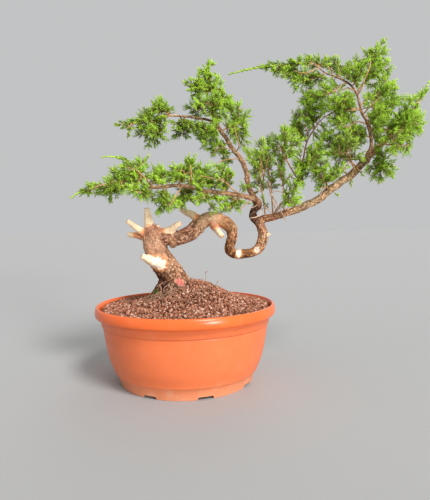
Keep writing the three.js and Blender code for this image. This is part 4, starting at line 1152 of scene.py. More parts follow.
def limb_samples(points, kind, start, rust):
    """Centres every millimetre along a limb, with what the bark needs to know there."""
    spline = Spline(points)
    dense = np.linspace(0, spline.last, 40 * spline.last)
    line = spline.at(dense)
    run = np.concatenate([[0], np.cumsum(np.linalg.norm(np.diff(line, axis=0), axis=1))])
    steps = max(4, int(run[-1]))
    index = np.interp(np.linspace(0, run[-1], steps), run, dense)
    share = np.linspace(0, 1, steps)
    own_run = start + share * run[-1]
    radius = spline.radius(index)
    centres = spline.at(index)
    if kind in STRAYING:
        places = np.stack([own_run / 10, 0 * share, 0 * share], axis=1)
        stray = np.stack([value_noise(places, seed) for seed in (3, 4, 5)], axis=1)
        centres = centres + STRAY * radius[:, None] * stray
    tangents, side, across = frames_along(centres)
    look = np.array(BARK[kind])
    bark = {name: np.interp(index, look[:, 0], look[:, k + 1]) for k, name in enumerate(BARK_VALUES)}
    dead = np.zeros(steps)
    if kind == "stub":
        # Its cut end is brown again
        dead = np.clip(0.35 + 2.2 * (share - rust), 0.1, 1) * np.interp(share, [0.93, 1], [1, 0.45])
    return {
        "centre": centres, "side": side, "across": across, "tangent": tangents, "run": own_run,
        "radius": radius, "dead": dead, **bark,
    }


def all_limbs():
    """Each limb's points, its kind, and for a stub how much of it is rusty."""
    yield TRUNK, "trunk", 0
    yield WINDING, "winding", 0
    for name, points in LIMBS.items():
        share = SLIMMER.get(name, 1.0)
        kind = name if name in BARK else "thin"
        yield [(*p[:3], p[3] * share) for p in points], kind, 0
    for rust, points in STUBS:
        yield points, "stub", rust
    for points in KNOTS:
        yield points, "knot", 0
    for points in ROOTS:
        yield points, "root", 0


def add_rough_limb(shape, sample, kind, seed):
    """A limb as a closed tube with an uneven girth."""
    radius = sample["radius"]
    count = len(radius)
    sides = int(max(8, 2 * pi * radius.max() / 1.2))
    angle = circle(sides)
    around = np.broadcast_to(np.stack([np.cos(angle), np.sin(angle)], axis=1), (count, sides, 2))
    run = np.broadcast_to(sample["run"][:, None, None], (count, sides, 1))
    girth = radius[:, None, None]
    wide = np.concatenate([around * 1.2, run / (8 + girth)], axis=2).reshape(-1, 3)
    tight = np.concatenate([around * 2.4, run / (3.5 + 0.4 * girth)], axis=2).reshape(-1, 3)
    depth = LUMPS.get(kind, OTHER_LUMPS)
    lumps = depth * value_noise(wide, seed) + 0.5 * depth * value_noise(tight, seed + 50)
    if kind in ("trunk", "winding"):
        lumps = lumps + (0.03 * np.cos(4 * angle[None] + 0.05 * sample["run"][:, None])).ravel()
    reach = radius[:, None] * (0.985 + lumps.reshape(count, sides))
    rings = sample["centre"][:, None] + reach[..., None] * spokes(sample["side"], sample["across"], angle)
    dome = 0.05 if kind == "stub" else 0.3
    end = sample["centre"][-1] + sample["tangent"][-1] * radius[-1] * dome
    add_rings(shape, rings, (sample["centre"][0], end))


def add_nubs(shape, sample, kind, rng):
    """Bumps and the stubs of lost twigs, which stand a little out of a limb's side."""
    if kind not in NUBS:
        return
    spacing, wide, proud = NUBS[kind]
    for i in range(4, len(sample["run"]) - 6, spacing):
        k = i + int(rng.integers(0, 5))
        turn = rng.uniform(0, 2 * pi)
        radius = sample["radius"][k]
        out = sample["side"][k] * cos(turn) + sample["across"][k] * sin(turn)
        out = unit(out + 0.5 * sample["tangent"][k] * rng.uniform(-0.3, 1))
        length = radius * (1 + proud * rng.uniform(0.3, 1.1))
        nub = max(0.75, wide * radius * rng.uniform(0.7, 1.2))
        away = np.array([[0.3 * length], [0.7 * length], [length - 0.3 * nub]])
        centres = sample["centre"][k] + out * away
        add_tube(shape, centres, [nub * 1.2, nub * 1.1, nub * 0.75], 9)


def on_picture_plane(points):
    """Each point's x and z slid along the line of sight to the plane of the pot's axis."""
    shrink = EYE_DISTANCE / (EYE_DISTANCE + points[:, 1])
    eye = np.array([EYE_X, EYE_Z])
    return eye + (points[:, [0, 2]] - eye) * shrink[:, None]


def patch_depth(seen, front, x, z, half_wide, half_high, tilt):
    """How deep a point lies in an oval patch on the front: 1 in the middle, 0 at its edge, below 0
    outside."""
    away = seen - (x, z)
    turn = radians(tilt)
    u = (away[:, 0] * cos(turn) + away[:, 1] * sin(turn)) / half_wide
    v = (away[:, 1] * cos(turn) - away[:, 0] * sin(turn)) / half_high
    return np.where(front, 1 - np.hypot(u, v), -9)


def vertex_values(mesh, name):
    """One of a mesh's vectors for each vertex, a row each."""
    values = np.empty(len(mesh.vertices) * 3, np.float32)
    mesh.vertices.foreach_get(name, values)
    return values.reshape(-1, 3)


def make_wood():
    """The limbs melted into one skin, then given flaky bark, wounds and the values of their place."""
    rough = Shape()
    samples = []
    rng = np.random.default_rng(17)
    for number, (points, kind, rust) in enumerate(all_limbs()):
        sample = limb_samples(points, kind, RUN_APART * number, rust)
        samples.append(sample)
        add_rough_limb(rough, sample, kind, number)
        add_nubs(rough, sample, kind, rng)

    tree = linked("tree_rough", rough.mesh("tree_rough"))
    melt = tree.modifiers.new("melt", "REMESH")
    melt.mode = "VOXEL"
    melt.voxel_size = VOXEL * MM
    ease = tree.modifiers.new("ease", "SMOOTH")
    ease.factor = 0.5
    ease.iterations = 1
    mesh = baked(tree, "tree_wood")
    bpy.data.objects.remove(tree)

    points = (vertex_values(mesh, "co") - AXIS) / MM
    normals = vertex_values(mesh, "normal")
    joined = {key: np.concatenate([s[key] for s in samples]) for key in samples[0]}
    near = nearest_sample(points, joined)
    offset = points - joined["centre"][near]
    grain = np.stack(
        [
            np.einsum("ij,ij->i", offset, joined["side"][near]),
            np.einsum("ij,ij->i", offset, joined["across"][near]),
            joined["run"][near],
        ],
        axis=1,
    )
    values = {name: joined[name][near] for name in ("dead", *BARK_VALUES)}
    size = joined["radius"][near]
    seen = on_picture_plane(points)
    front = normals[:, 1] < -0.05
    ragged = 0.26 * value_noise(points / 2.8, 40) + 0.16 * value_noise(points / 1.5, 41)
    wound = np.max([patch_depth(seen, front, *scar) for scar in SCARS], axis=0) + ragged
    raw = patch_depth(seen, front, *RAW_SPOT) + ragged
    shade = np.clip(1.2 - distance_to_line(seen, *FOOT_SHADE) / FOOT_SHADE_WIDTH + ragged, 0, 1) * front
    values["pale"] = values["pale"] * (1 - 0.95 * shade)
    values["white"] = np.clip(wound * 6, 0, 1)
    values["callus"] = np.clip((wound + 0.5) * 3, 0, 1) * (values["dead"] < 0.3)
    values["raw"] = np.clip(0.15 + raw * 2.4, 0, 1)
    values["dead"] = np.clip(values["dead"] + 0.4 * ragged, 0, 1)

    # Plates of bark with cracks between them, drawn out along the grain and finer on thin wood
    fine = np.clip(size / 8, 0.4, 1.0)[:, None]
    drift = np.stack([value_noise(grain / 2.6, seed) for seed in (21, 22, 23)], axis=1)
    spread = grain / (np.array(PLATE_SIZE) * fine) + 0.35 * drift
    plate, inside = plates(spread, 60)
    crack = np.exp(-((inside / CRACK_WIDTH) ** 2))
    splinter = value_noise(grain * (0.9, 0.9, 0.06), 8)
    hollow = np.clip(value_noise(grain * (0.16, 0.16, 0.12), 9) - 0.25, 0, 1)
    height = 0.55 * plate - 1.0 * crack + 0.5 * value_noise(grain * (0.6, 0.6, 0.12), 6) - 1.4 * hollow
    height = height * values["flaky"] * np.clip(size / 11, 0.2, 0.95)
    dry = np.maximum(values["dead"], values["white"])
    height = height * (1 - dry) + dry * (0.32 * splinter - 0.1)
    height = height + 0.5 * (values["callus"] - 1.9 * values["white"]) * (values["callus"] > 0.05)
    points = points + normals * height[:, None]
    mesh.vertices.foreach_set("co", ((points * MM) + AXIS).astype(np.float32).ravel())
    values["plate"] = 0.5 + 0.5 * plate
    values["crack"] = np.clip(crack + 1.3 * hollow, 0, 1) * values["flaky"]

    attribute = mesh.attributes.new("grain", "FLOAT_VECTOR", "POINT")
    attribute.data.foreach_set("vector", grain.astype(np.float32).ravel())
    for name, value in values.items():
        attribute = mesh.attributes.new(name, "FLOAT", "POINT")
        attribute.data.foreach_set("value", value.astype(np.float32))
    mesh.update()
    return shown("tree_wood", mesh, bark_material(), "bark", "trunk_and_branches")


def distance_to_line(seen, start, end):
    """How far each row of (x, z) is from the line between two points."""
    start, way = np.array(start), np.subtract(end, start)
    share = np.clip((seen - start) @ way / (way @ way), 0, 1)
    return np.linalg.norm(seen - start - share[:, None] * way, axis=1)


def nearest_sample(points, joined):
    """The number of the limb sample whose surface is nearest to each point."""
    centre = joined["centre"].astype(np.float32)
    radius = joined["radius"].astype(np.float32)
    squares = (centre**2).sum(axis=1)
    found = np.empty(len(points), np.int64)
    block = 4000
    for i in range(0, len(points), block):
        chunk = points[i : i + block].astype(np.float32)
        square = (chunk**2).sum(axis=1)[:, None] + squares[None] - 2 * chunk @ centre.T
        found[i : i + block] = np.argmin(np.sqrt(np.maximum(square, 0)) - radius[None], axis=1)
    return found


def make_dry_twigs():
    """Thin dead twigs that cross in front of the limbs."""
    rng = np.random.default_rng(23)
    shape = Shape()
    for points in DRY_TWIGS:
        spline = Spline(points)
        index = np.linspace(0, spline.last, 6 * spline.last + 1)
        centres = spline.at(index) + rng.normal(0, 0.12, (len(index), 3))
        add_tube(shape, centres, spline.radius(index) * rng.uniform(0.85, 1.15, len(index)), 6)
    material = mottled_material(
        "dry_twig", 0.8, 0.2, 260, 3, (0.3, (0.42, 0.24, 0.15)), (0.7, (0.74, 0.56, 0.42))
    )[0]
    shown("dry_twigs", shape.mesh("dry_twigs"), material, "bark")


# Foliage

TWIG_STEP = 3.1
TWIG_RADIUS = 0.5
FANS_PER_TWIG = 5
CORD_RADIUS = 0.52
# The bare share of a fork
FORK_BARE = 0.12
# The side cords of a fan: where along it each one leaves, and its length as a share of the fan's
SIDE_CORDS = [(0.10, 0.58), (0.28, 0.60), (0.46, 0.52), (0.64, 0.40)]
INNER_CORDS = 3
# A spray with twigs no longer than this is a slim shoot, which narrows to a long point
SLIM_REACH = 9.0
# The long smooth new shoots: the number of the stem in its spray
RUNNERS = {"low_left_10": 3, "low_left_14": 0, "leader_13": 0, "right_arm_04": 0}
# The map of bare wood: its first x and z, how far it goes on from there both ways, how far round a point of
# the wood it is drawn, and its value where there is none
MAP_START = (-170, 190)
MAP_SIZE = 520
MAP_BRUSH = 8
NO_WOOD = -1000.0


def stems_of(limb, at, reach, bare, tips, rng):
    """The spray's stems as curves, each with the share of it that is bare and its twigs' reach."""
    spline = Spline(LIMBS[limb])
    root = spline.at(at)
    tangent = spline.tangent(at)
    tip = place(tips[0])
    start = tip - root
    if at == spline.last:
        start = unit(tangent + unit(start))
        root = root - 0.5 * start
    else:
        start = unit(start - np.dot(start, tangent) * tangent)
        root = root + start * (spline.radius(at) - 1.2)
    main = Bend(root, start, tip, rng)
    stems = [(main, bare, reach)]
    for fork in tips[1:]:
        leaves_at = fork[3]
        share = fork[4] if len(fork) > 4 else 1.0
        bend = Bend(main.at(leaves_at), main.tangent(leaves_at), place(fork), rng)
        stems.append((bend, FORK_BARE, reach * share))
    return stems


def add_cords(shape, root, way, up, length, curl, radius, rings, fresh, tone, age, keep):
    """Many leaf cords at once, one a row to keep. Each is a thin tube that ends in a point. fresh and age are
    given for the root and the tip."""
    root, way, up, length, curl, radius, tone = (v[keep] for v in (root, way, up, length, curl, radius, tone))
    fresh = [v[keep] for v in fresh]
    age = [v[keep] for v in age]
    n = len(root)
    sides = 3
    u = np.append(np.linspace(0, (0.0, 0.68, 0.78)[rings - 1], rings), 1.0)
    side = np.cross(way, up)
    centre = (
        root[:, None]
        + way[:, None] * (length[:, None] * u)[..., None]
        + up[:, None] * (curl[:, None] * length[:, None] * u**2)[..., None]
    )
    taper = np.interp(u[:-1], [0, 0.2, 0.55, 0.72], [0.8, 1.0, 1.0, 0.85])
    thick = (radius[:, None] * taper)[:, :, None, None]
    angle = np.arange(sides) * 2 * pi / sides
    spoke = side[:, None] * np.cos(angle)[:, None] + up[:, None] * np.sin(angle)[:, None]
    ring = centre[:, :-1, None] + spoke[:, None] * thick
    per = rings * sides + 1
    vertices = np.concatenate([ring.reshape(n, -1, 3), centre[:, -1:]], axis=1).reshape(-1, 3)
    start = (np.arange(n) * per)[:, None, None]
    quads = (ring_quads(rings, sides)[None] + start).reshape(-1, 4)
    last = list(range((rings - 1) * sides, rings * sides))
    caps = (np.array(cap_triangles(last, rings * sides))[None] + start).reshape(-1, 3)
    along = np.append(np.repeat(u[:-1], sides), 1.0)
    shape.add(
        vertices, triangles=caps, quads=quads, tone=np.repeat(tone, per),
        fresh=(fresh[0][:, None] * (1 - along) + fresh[1][:, None] * along).ravel(),
        age=(age[0][:, None] * (1 - along) + age[1][:, None] * along).ravel(),
        run=(length[:, None] * along).ravel(),
    )


def turned_about(tangent, angle, other):
    """Unit vectors square to each tangent, at an angle round it from one that is carried from other."""
    side = unit(other - (other * tangent).sum(axis=1)[:, None] * tangent)
    across = np.cross(tangent, side)
    return side * np.cos(angle)[:, None] + across * np.sin(angle)[:, None]


def bare_wood_map():
    """How deep the bare wood lies that shows in front of the foliage, for each millimetre of x and z from
    MAP_START on."""
    deepest = np.full((MAP_SIZE, MAP_SIZE), NO_WOOD)
    lines = [(Spline(LIMBS[name]), first, last, LIMB_MARGIN) for name, first, last in SHOWN_LIMBS]
    for twigs in SHOWN_TWIGS.values():
        lines += [(Spline(points), 0.5, len(points) - 1, TWIG_MARGIN) for points in twigs]
    for spline, first, last, margin in lines:
        index = np.arange(first, last, 0.05)
        centres = spline.at(index)
        reaches = spline.radius(index) + margin
        for (x, z), depth, reach in zip(on_picture_plane(centres) - MAP_START, centres[:, 1], reaches):
            across = slice(int(x) - MAP_BRUSH, int(x) + MAP_BRUSH + 1)
            up = slice(int(z) - MAP_BRUSH, int(z) + MAP_BRUSH + 1)
            u, v = np.ogrid[across, up]
            near = np.hypot(u + 0.5 - x, v + 0.5 - z) < reach
            window = deepest[across, up]
            window[near] = np.maximum(window[near], depth)
    return deepest


def leaves_wood_bare(deepest, points):
    """True for points that aren't in front of bare wood."""
    i, j = (on_picture_plane(points) - MAP_START).astype(int).T
    return points[:, 1] > deepest[np.clip(i, 0, MAP_SIZE - 1), np.clip(j, 0, MAP_SIZE - 1)]


def add_twigs(shape, stem, bare, reach, runner, tint_and_light, deepest, rng):
    """Woody twigs all round a stem and past its tip. Each carries small fans of leaf cords, apart from those
    that would hide bare wood."""
    slim = reach < SLIM_REACH
    count = max(4, int(stem.length() * (1 - bare) / (TWIG_STEP * (0.8 if slim else 1))))
    share = np.concatenate([(np.arange(count) + 0.3) / count, [1.0]])
    count += 1
    t = bare + (1 - bare) * share
    root, tangent = stem.at(t), stem.tangent(t)
    helper = np.where(np.abs(tangent[:, 2:]) > 0.9, (1.0, 0.0, 0.0), (0.0, 0.0, 1.0))
    out = turned_about(tangent, np.arange(count) * GOLDEN_ANGLE + rng.uniform(-0.6, 0.6, count), helper)
    lean = np.interp(share, [0, 0.999, 1], [1.05, 0.6, 0.1]) * rng.uniform(0.8, 1.15, count)
    if slim:
        lean = lean * (0.6 if runner else 0.75)
        narrowing = [1.4, 1.1, 0.5, 0.4] if runner else [1.35, 1.0, 0.9, 0.6]
        reach = reach * np.interp(share, [0, 0.4, 0.6, 1], narrowing)
    else:
        reach = np.full(count, float(reach))
    way = tangent * np.cos(lean)[:, None] + out * np.sin(lean)[:, None]
    way[:, 2] += 0.12 * (1 + out[:, 2])
    way = unit(way)
    length = reach * (0.38 + 0.26 * np.sin(pi * share)) * rng.uniform(0.7, 1.2, count)
    up = turned_about(way, rng.uniform(0, 2 * pi, count), out + 0.01)
    curl = rng.uniform(-0.15, 0.3, count)
    aged = np.full(count, 0.35 if slim else 1.0)
    tone = np.clip(tint_and_light + 0.2 * share + rng.normal(0, 0.20, count), 0, 1)
    add_cords(shape, root, way, up, length, curl, np.full(count, TWIG_RADIUS), 3,
              (0 * aged, 0 * aged), tone, (aged, 0.6 * aged), np.ones(count, bool))

    # Short cords fill the inside, painted dark as painted shade where the light is poor
    each = np.repeat(np.arange(count), INNER_CORDS)
    n = len(each)
    v = rng.uniform(0.0, 0.5, n)
    foot = root[each] + way[each] * (length[each] * v)[:, None]
    around = turned_about(way[each], rng.uniform(0, 2 * pi, n), up[each])
    inner_way = unit(way[each] * rng.uniform(0.2, 0.9, (n, 1)) + around)
    inner_up = turned_about(inner_way, rng.uniform(0, 2 * pi, n), way[each] + 0.013)
    add_cords(shape, foot, inner_way, inner_up, reach[each] * rng.uniform(0.25, 0.42, n), np.zeros(n),
              np.full(n, 0.72), 1, (np.full(n, -0.7), np.full(n, -0.5)), np.clip(0.4 * tone[each], 0, 1),
              (np.full(n, 0.35), np.full(n, 0.0)), leaves_wood_bare(deepest, foot + inner_way * 1.5))

    # The fans sit along both edges of each twig, and the last one goes on in the twig's own direction
    place_of = np.linspace(0.25, 1.0, FANS_PER_TWIG)
    v = np.tile(place_of, count) + rng.uniform(-0.05, 0.05, count * FANS_PER_TWIG)
    each = np.repeat(np.arange(count), FANS_PER_TWIG)
    hand = np.tile(np.where(np.arange(FANS_PER_TWIG) % 2 == 0, 1.0, -1.0), count)
    end = np.tile(np.arange(FANS_PER_TWIG) == FANS_PER_TWIG - 1, count)
    n = len(each)
    bow = (curl * length)[each] * v**2
    base = root[each] + way[each] * (length[each] * v)[:, None] + up[each] * bow[:, None]
    flat = np.cross(way, up)[each]
    spread = np.where(end, 0.1, rng.uniform(0.45, 0.85, n)) * hand
    tilt = rng.uniform(-0.8, 0.8, n)
    aside = flat * np.cos(tilt)[:, None] + up[each] * np.sin(tilt)[:, None]
    fan_way = unit(way[each] * np.cos(spread)[:, None] + aside * np.sin(spread)[:, None])
    fan_up = unit(np.cross(aside, fan_way))
    fan_length = reach[each] * rng.uniform(0.42, 0.66, n) * np.where(end, 1.15, 1.0)
    fan_tone = np.clip(tone[each] + rng.normal(0, 0.13, n), 0, 1)
    outer = np.clip(0.15 + 0.55 * share[each] + 0.4 * v + rng.normal(0, 0.1, n) + 0.1 * runner, 0, 1.15)
    radius = CORD_RADIUS * rng.uniform(0.85, 1.15, n)
    fan_curl = rng.uniform(-0.2, 0.2, n)
    inner_age = np.clip(0.7 - 0.6 * outer, 0, 0.7)
    keep = np.ones(n, bool)
    for share_of in (0.3, 0.6, 0.9):
        keep &= leaves_wood_bare(deepest, base + fan_way * (share_of * fan_length)[:, None])
    # Cords near the twig's inside get a freshness value below 0: darker, partly older foliage and partly
    # painted shade
    add_cords(shape, base, fan_way, fan_up, fan_length, fan_curl, radius, 2,
              (0.6 * outer - 0.7, 0.9 * outer), fan_tone, (inner_age, 0 * inner_age), keep)
    fan_flat = np.cross(fan_way, fan_up)
    for number, (u, size) in enumerate(SIDE_CORDS):
        turn = rng.uniform(0.42, 0.75, n) * (1 if number % 2 == 0 else -1)
        foot = base + fan_way * (fan_length * u)[:, None] + fan_up * (fan_curl * fan_length * u**2)[:, None]
        lift = rng.uniform(-0.3, 0.3, (n, 1))
        twig = unit(fan_way * np.cos(turn)[:, None] + fan_flat * np.sin(turn)[:, None] + fan_up * lift)
        own_up = unit(fan_up - (fan_up * twig).sum(axis=1)[:, None] * twig)
        add_cords(
            shape, foot, twig, own_up, fan_length * size * rng.uniform(0.8, 1.2, n),
            rng.uniform(-0.15, 0.15, n), radius * 0.92, 2 if number < 2 else 1,
            (0.7 * outer - 0.5, outer), np.clip(fan_tone + rng.normal(0.05, 0.06, n), 0, 1),
            (0.3 * inner_age, 0 * outer), keep,
        )


def add_stem(shape, stem, first, runner):
    """A stem's own wood, which turns green towards its tip. A runner is a thicker and fresher shoot."""
    t = np.linspace(0, 1, 12)
    if runner:
        girth = np.interp(t, [0, 0.6, 1], [1.1, 1.15, 0.55])
        fresh = np.interp(t, [0.2, 0.6], [0, 0.7])
        age = np.interp(t, [0, 0.5], [1.0, 0.0])
    else:
        girth = np.interp(t, [0, 1], [1.1 if first else 0.85, 0.4])
        fresh = 0.0
        age = np.interp(t, [0, 0.5, 1], [1.0, 0.9, 0.2])
    add_tube(shape, stem.at(t), girth, 6, fresh=fresh, tone=0.6, age=age, run=0.0)


def add_shown_twig(shape, points, rng):
    """A bare twig that shows in front of the foliage, and sways a little between its ends."""
    spline = Spline(points)
    index = np.linspace(0, spline.last, 4 * spline.last + 1)
    sway = np.sin(pi * index / spline.last)[:, None] * rng.normal(0, 0.35, (len(index), 3))
    girth = spline.radius(index) * 0.85
    add_tube(shape, spline.at(index) + sway, girth, 6, fresh=0.0, tone=0.6, age=1.0, run=0.0)


def make_foliage():
    """Each spray as one piece that stands for its node, with its own seed."""
    material = leaf_material()
    deepest = bare_wood_map()
    number = 0
    for limb, sprays in SPRAYS.items():
        for i, (at, reach, bare, tips) in enumerate(sprays):
            number += 1
            rng = np.random.default_rng(number)
            shape = Shape()
            name = f"{limb}_{i + 1:02d}"
            # A random tint for the spray, plus its painted light and shade
            tint_and_light = rng.uniform(0.34, 0.52) + SPRAY_LIGHT_AND_SHADE.get(name, SPRAY_LIGHT_AND_SHADE.get(limb, 0))
            for j, (stem, stem_bare, stem_reach) in enumerate(stems_of(limb, at, reach, bare, tips, rng)):
                runner = RUNNERS.get(name) == j
                add_stem(shape, stem, j == 0, runner)
                add_twigs(shape, stem, stem_bare, stem_reach, runner, tint_and_light, deepest, rng)
            for points in SHOWN_TWIGS.get(name, []):
                add_shown_twig(shape, points, rng)
            shown(f"foliage_{name}", shape.mesh(f"foliage_{name}"), material, "foliage", f"spray_{name}")


# Soil

# The bed of fines: how far it lies below the grains' ground, and its wall as radius and height
BED_RINGS, BED_SIDES = 60, 120
BED_DEPTH = 1.6
BED_WALL = [(85.4, FLOOR_TOP + 0.4), (92.3, 19.5), (98.2, 31), (103, 51), (107.4, 76), (110.2, 86)]


def ground(x, y):
    """The soil's height. It is raked up a little towards the back of the pot."""
    away = (x - MOUND_X) ** 2 + (y - MOUND_Y) ** 2
    raked = 1.0 + 1.6 * np.clip(y / SOIL_RADIUS, -1, 1)
    return SOIL_LEVEL + raked + MOUND_HEIGHT * np.exp(-away / (2 * MOUND_SPREAD**2))


def make_soil():
    """The bed of fines under the grains, which fills the pot."""
    radius = np.linspace(SOIL_RADIUS - 1.0, 0.5, BED_RINGS)
    angle = circle(BED_SIDES)
    x = radius[:, None] * np.cos(angle)
    y = radius[:, None] * np.sin(angle)
    lumps = value_noise(np.stack([x.ravel(), y.ravel(), 0 * x.ravel()], axis=1) / 3.2, 31)
    z = ground(x, y) - BED_DEPTH + 0.7 * lumps.reshape(x.shape)
    rings = []
    for r, height in BED_WALL:
        rings.append(np.stack([r * np.cos(angle), r * np.sin(angle), np.full(BED_SIDES, height)], axis=1))
    rings = np.concatenate([rings, np.stack([x, y, z], axis=-1)])
    ends = [(0, 0, BED_WALL[0][1]), (0, 0, float(ground(0, 0)) - BED_DEPTH)]
    shape = Shape()
    add_rings(shape, rings, ends)
    shown("soil_bed", shape.mesh("soil_bed"), soil_material(), "soil_grit", "soil")


def icosahedron():
    """The corner points and faces of a regular icosahedron."""
    g = (1 + 5**0.5) / 2
    points = []
    for a in (-1, 1):
        for b in (-g, g):
            points += [(0, a, b), (a, b, 0), (b, 0, a)]
    points = unit(np.array(points, float))
    faces = []
    for i in range(12):
        for j in range(i + 1, 12):
            for k in range(j + 1, 12):
                trio = points[[i, j, k]]
                edges = [np.linalg.norm(trio[m] - trio[m - 1]) for m in range(3)]
                if max(edges) < 1.1:
                    out = np.dot(np.cross(trio[1] - trio[0], trio[2] - trio[0]), trio.mean(axis=0))
                    faces.append((i, j, k) if out > 0 else (i, k, j))
    return points, np.array(faces)


def scattered(count, rng, limit):
    """Seeded points spread evenly over the soil's surface."""
    r = limit * np.sqrt((np.arange(count) + 0.5) / count)
    a = np.arange(count) * GOLDEN_ANGLE
    x = r * np.cos(a) + rng.normal(0, 1.1, count)
    y = r * np.sin(a) + rng.normal(0, 1.1, count)
    squeeze = np.minimum(1, limit / np.hypot(x, y))
    return x * squeeze, y * squeeze


def grain_block(kind):
    """The corner points and faces of a grain before its corners are knocked in: an icosahedron, or an
    octahedron for the fine ones."""
    if kind == "coarse":
        return icosahedron()
    points = [(1, 0, 0), (-1, 0, 0), (0, 1, 0), (0, -1, 0), (0, 0, 1), (0, 0, -1)]
    faces = [(0, 2, 4), (2, 1, 4), (1, 3, 4), (3, 0, 4), (2, 0, 5), (1, 2, 5), (3, 1, 5), (0, 3, 5)]
    return np.array(points, float), np.array(faces)


def make_grit(tree):
    """Angular grains over the whole surface in two sizes, none of them inside the wood."""
    rng = np.random.default_rng(71)
    material = grit_material()
    for kind, count, size_low, size_high, sink in GRAINS:
        points, faces = grain_block(kind)
        corners = len(points)
        x, y = scattered(count, rng, SOIL_RADIUS - 2.4)
        size = rng.uniform(size_low, size_high, count) * rng.choice([1, 1, 1, 1.3], count)
        z = ground(x, y) + rng.uniform(-0.9, 0.7, count) - sink
        # The grains are darker round one spot
        darkening = np.clip(1 - np.hypot(x - DARK_GRAIN_SPOT[0], y - DARK_GRAIN_SPOT[1]) / DARK_GRAIN_SPOT[2], 0, 1)
        tone = np.clip(rng.normal(GRAIN_TONE, GRAIN_TONE_SPREAD, count) - 0.4 * darkening, 0, 1)
        tone[rng.random(count) < BRIGHT_SHARE] = 1.0
        squash = rng.uniform(0.7, 1.25, (count, 1, 3))
        jitter = rng.uniform(0.78, 1.22, (count, corners, 1))
        spin = np.array([np.array(Euler(a).to_matrix()) for a in rng.uniform(0, 2 * pi, (count, 3))])
        turned = np.einsum("nij,nkj->nki", spin, points[None] * jitter * squash)
        centre = np.stack([x, y, z], axis=1)
        keep = np.ones(count, bool)
        for i, c in enumerate(centre):
            at = Vector(c * MM + AXIS)
            spot, normal, _, _ = tree.find_nearest(at, 0.02)
            keep[i] = spot is None or (at - spot).dot(normal) >= 0.4 * MM
        vertices = centre[keep, None] + turned[keep] * size[keep, None, None]
        start = (np.arange(keep.sum()) * corners)[:, None, None]
        triangles = (faces[None] + start).reshape(-1, 3)
        shape = Shape()
        shape.add(vertices, triangles=triangles, tone=np.repeat(tone[keep], corners))
        shown(f"grit_{kind}", shape.mesh(f"grit_{kind}"), material, "soil_grit", smooth=False)


def make_moss(tree):
    """Small cushions of moss on the roots at the trunk's left foot."""
    rng = np.random.default_rng(5)
    shape = Shape()
    eye = Vector(place((EYE_X, EYE_Z, 0)) * MM + AXIS) - Vector((0, EYE_DISTANCE * MM, 0))
    for x, z, spread, count in MOSS:
        for _ in range(count):
            aim = Vector(place((*rng.normal((x, z), spread / 2), 0)) * MM + AXIS)
            spot, normal, _, _ = tree.ray_cast(eye, (aim - eye).normalized())
            if spot is None:
                continue
            root = (np.array(spot) - AXIS) / MM
            way = unit(np.array(normal) + rng.normal(0, 0.5, 3) + (0, 0, 0.6))
            length = rng.uniform(0.9, 2.0)
            centres = root + way * np.array([[-0.2], [0.5], [1]]) * length
            add_tube(shape, centres, np.array([0.42, 0.38, 0.12]), 4)
    material = mottled_material(
        "moss", 0.9, 0.1, 900, 3, (0.3, (0.035, 0.075, 0.012)), (0.7, (0.13, 0.20, 0.03))
    )[0]
    shown("moss", shape.mesh("moss"), material, "foliage")


def add_rootlet(shape, points, wide, fine, rng, seen=True):
    """A fine root through a row of points, with small kinks."""
    spline = Spline([(*p, 0) for p in points], seen=seen)
    index = np.linspace(0, spline.last, 5 * spline.last + 1)
    centres = spline.at(index) + rng.normal(0, 0.16, (len(index), 3))
    add_tube(shape, centres, np.linspace(wide, fine, len(index)), 5)


def make_rootlets():
    """The tangle of fine roots at the trunk's foot, fibres that lie on the mound, and dry stalks."""
    rng = np.random.default_rng(9)
    shape = Shape()
    for points in FOOT_ROOTS:
        add_rootlet(shape, points, 0.75, 0.4, rng)
    for _ in range(TANGLE_COUNT):
        x = rng.uniform(-43, -10)
        depth = rng.uniform(-30, -12) - 0.25 * (x + 43)
        high = rng.uniform(1.5, 8)
        side = rng.uniform(-11, 11)
        points = [(x, depth, float(ground(x, depth)) - 1)]
        for share in (0.25, 0.5, 0.75, 1.0):
            along = x + share * side + rng.normal(0, 0.9)
            out = depth - 4 * share + rng.normal(0, 0.9)
            lift = high * sin(pi * min(share * 1.1, 1)) + rng.uniform(-0.6, 1.2)
            points.append((along, out, float(ground(along, out)) + lift))
        add_rootlet(shape, points, 0.34, 0.2, rng, seen=False)
    for _ in range(FIBRE_COUNT):
        angle = rng.uniform(0, 2 * pi)
        start = 16 + rng.uniform(0, 34)
        run = rng.uniform(8, 20)
        bend = rng.uniform(-0.9, 0.9)
        steps = np.linspace(0, 1, 7)
        a = angle + bend * steps
        r = start + run * steps
        x = -6 + r * np.cos(a)
        y = r * np.sin(a)
        lift = 2.6 * np.sin(pi * steps) * rng.uniform(0.2, 1) + 0.8
        centres = np.stack([x, y, ground(x, y) + lift], axis=1)
        add_tube(shape, centres, np.interp(steps, [0, 1], [0.3, 0.14]), 4)
    for points in STALKS:
        add_rootlet(shape, points, 0.45, 0.3, rng)
    # The tallest stalk's dry head
    head = np.array([place((27, 142, 0)), place((28.5, 143, 0)), place((29.5, 143, 0))])
    add_tube(shape, head, [0.7, 0.9, 0.5], 6)
    material = mottled_material(
        "dry_rootlet", 0.85, 0.2, 300, 3, (0.3, (0.18, 0.068, 0.036)), (0.7, (0.64, 0.39, 0.25))
    )[0]
    shown("rootlets", shape.mesh("rootlets"), material, "bark")


# Stage

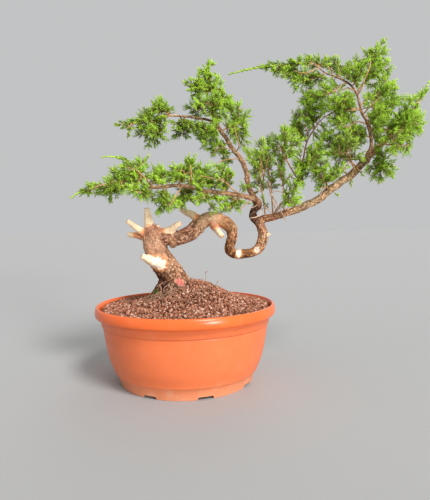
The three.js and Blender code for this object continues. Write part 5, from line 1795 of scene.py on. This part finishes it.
# Soft suns: which way each shines, its strength, and its width in degrees
LIGHTS = {
    "key": ((-0.50, 0.72, -0.90), 2.75, 16), "window": ((-0.58, 0.79, -0.16), 2.2, 14),
    "fill": ((0.9, 0.6, -0.5), 0.12, 40), "back": ((-0.2, -1, -0.7), 0.5, 40),
}
SKY_COLOUR, SKY_STRENGTH = (0.98, 0.99, 1.0, 1), 0.55
FLOOR_COLOUR = (0.375, 0.375, 0.37, 1)
FLOOR_HALF_M = 60.0

# The camera, fitted to the reference view: its place in millimetres from the pot's axis, how far it looks
# down and is turned about its line of sight, and its focal length in pixels of the picture's longer side
CAMERA_PLACE = (40.4, -589.0, 197.6)
PITCH, ROLL = radians(2.49), radians(0.8)
FOCAL_PX, LONG_SIDE_PX = 437.0, 500.0


def make_stage():
    """A pale floor, an even sky and the lights."""
    size = FLOOR_HALF_M
    mesh = bpy.data.meshes.new("floor")
    corners = [(-size, -size, 0), (size, -size, 0), (size, size, 0), (-size, size, 0)]
    mesh.from_pydata(corners, [], [(0, 1, 2, 3)])
    material, _, shader = new_material("pale_floor", 0.9, 0.2)
    shader.inputs["Base Color"].default_value = FLOOR_COLOUR
    mesh.materials.append(material)
    linked("floor", mesh)
    world = bpy.data.worlds.new("studio")
    bpy.context.scene.world = world
    world.use_nodes = True
    sky = world.node_tree.nodes["Background"]
    sky.inputs["Color"].default_value = SKY_COLOUR
    sky.inputs["Strength"].default_value = SKY_STRENGTH
    for name, (way, energy, spread) in LIGHTS.items():
        light = bpy.data.lights.new(name, "SUN")
        light.energy = energy
        light.angle = radians(spread)
        linked(name, light).rotation_euler = Vector(way).to_track_quat("-Z", "Y").to_euler()


def make_camera():
    data = bpy.data.cameras.new("camera")
    camera = linked("camera", data)
    data.sensor_width = 36.0
    data.lens = data.sensor_width * FOCAL_PX / LONG_SIDE_PX
    camera.location = AXIS + np.array(CAMERA_PLACE) * MM
    turn = Euler((pi / 2 - PITCH, 0, 0)).to_matrix() @ Matrix.Rotation(-ROLL, 3, "Z")
    camera.rotation_euler = turn.to_euler()
    bpy.context.scene.camera = camera


make_camera()
make_stage()
bpy.context.scene.view_settings.view_transform = "Standard"
make_pot()
make_soil()
wood = make_wood()
wood_surface = BVHTree.FromPolygons(
    [tuple(v.co) for v in wood.data.vertices], [tuple(p.vertices) for p in wood.data.polygons]
)
make_dry_twigs()
make_grit(wood_surface)
make_moss(wood_surface)
make_rootlets()
make_foliage()
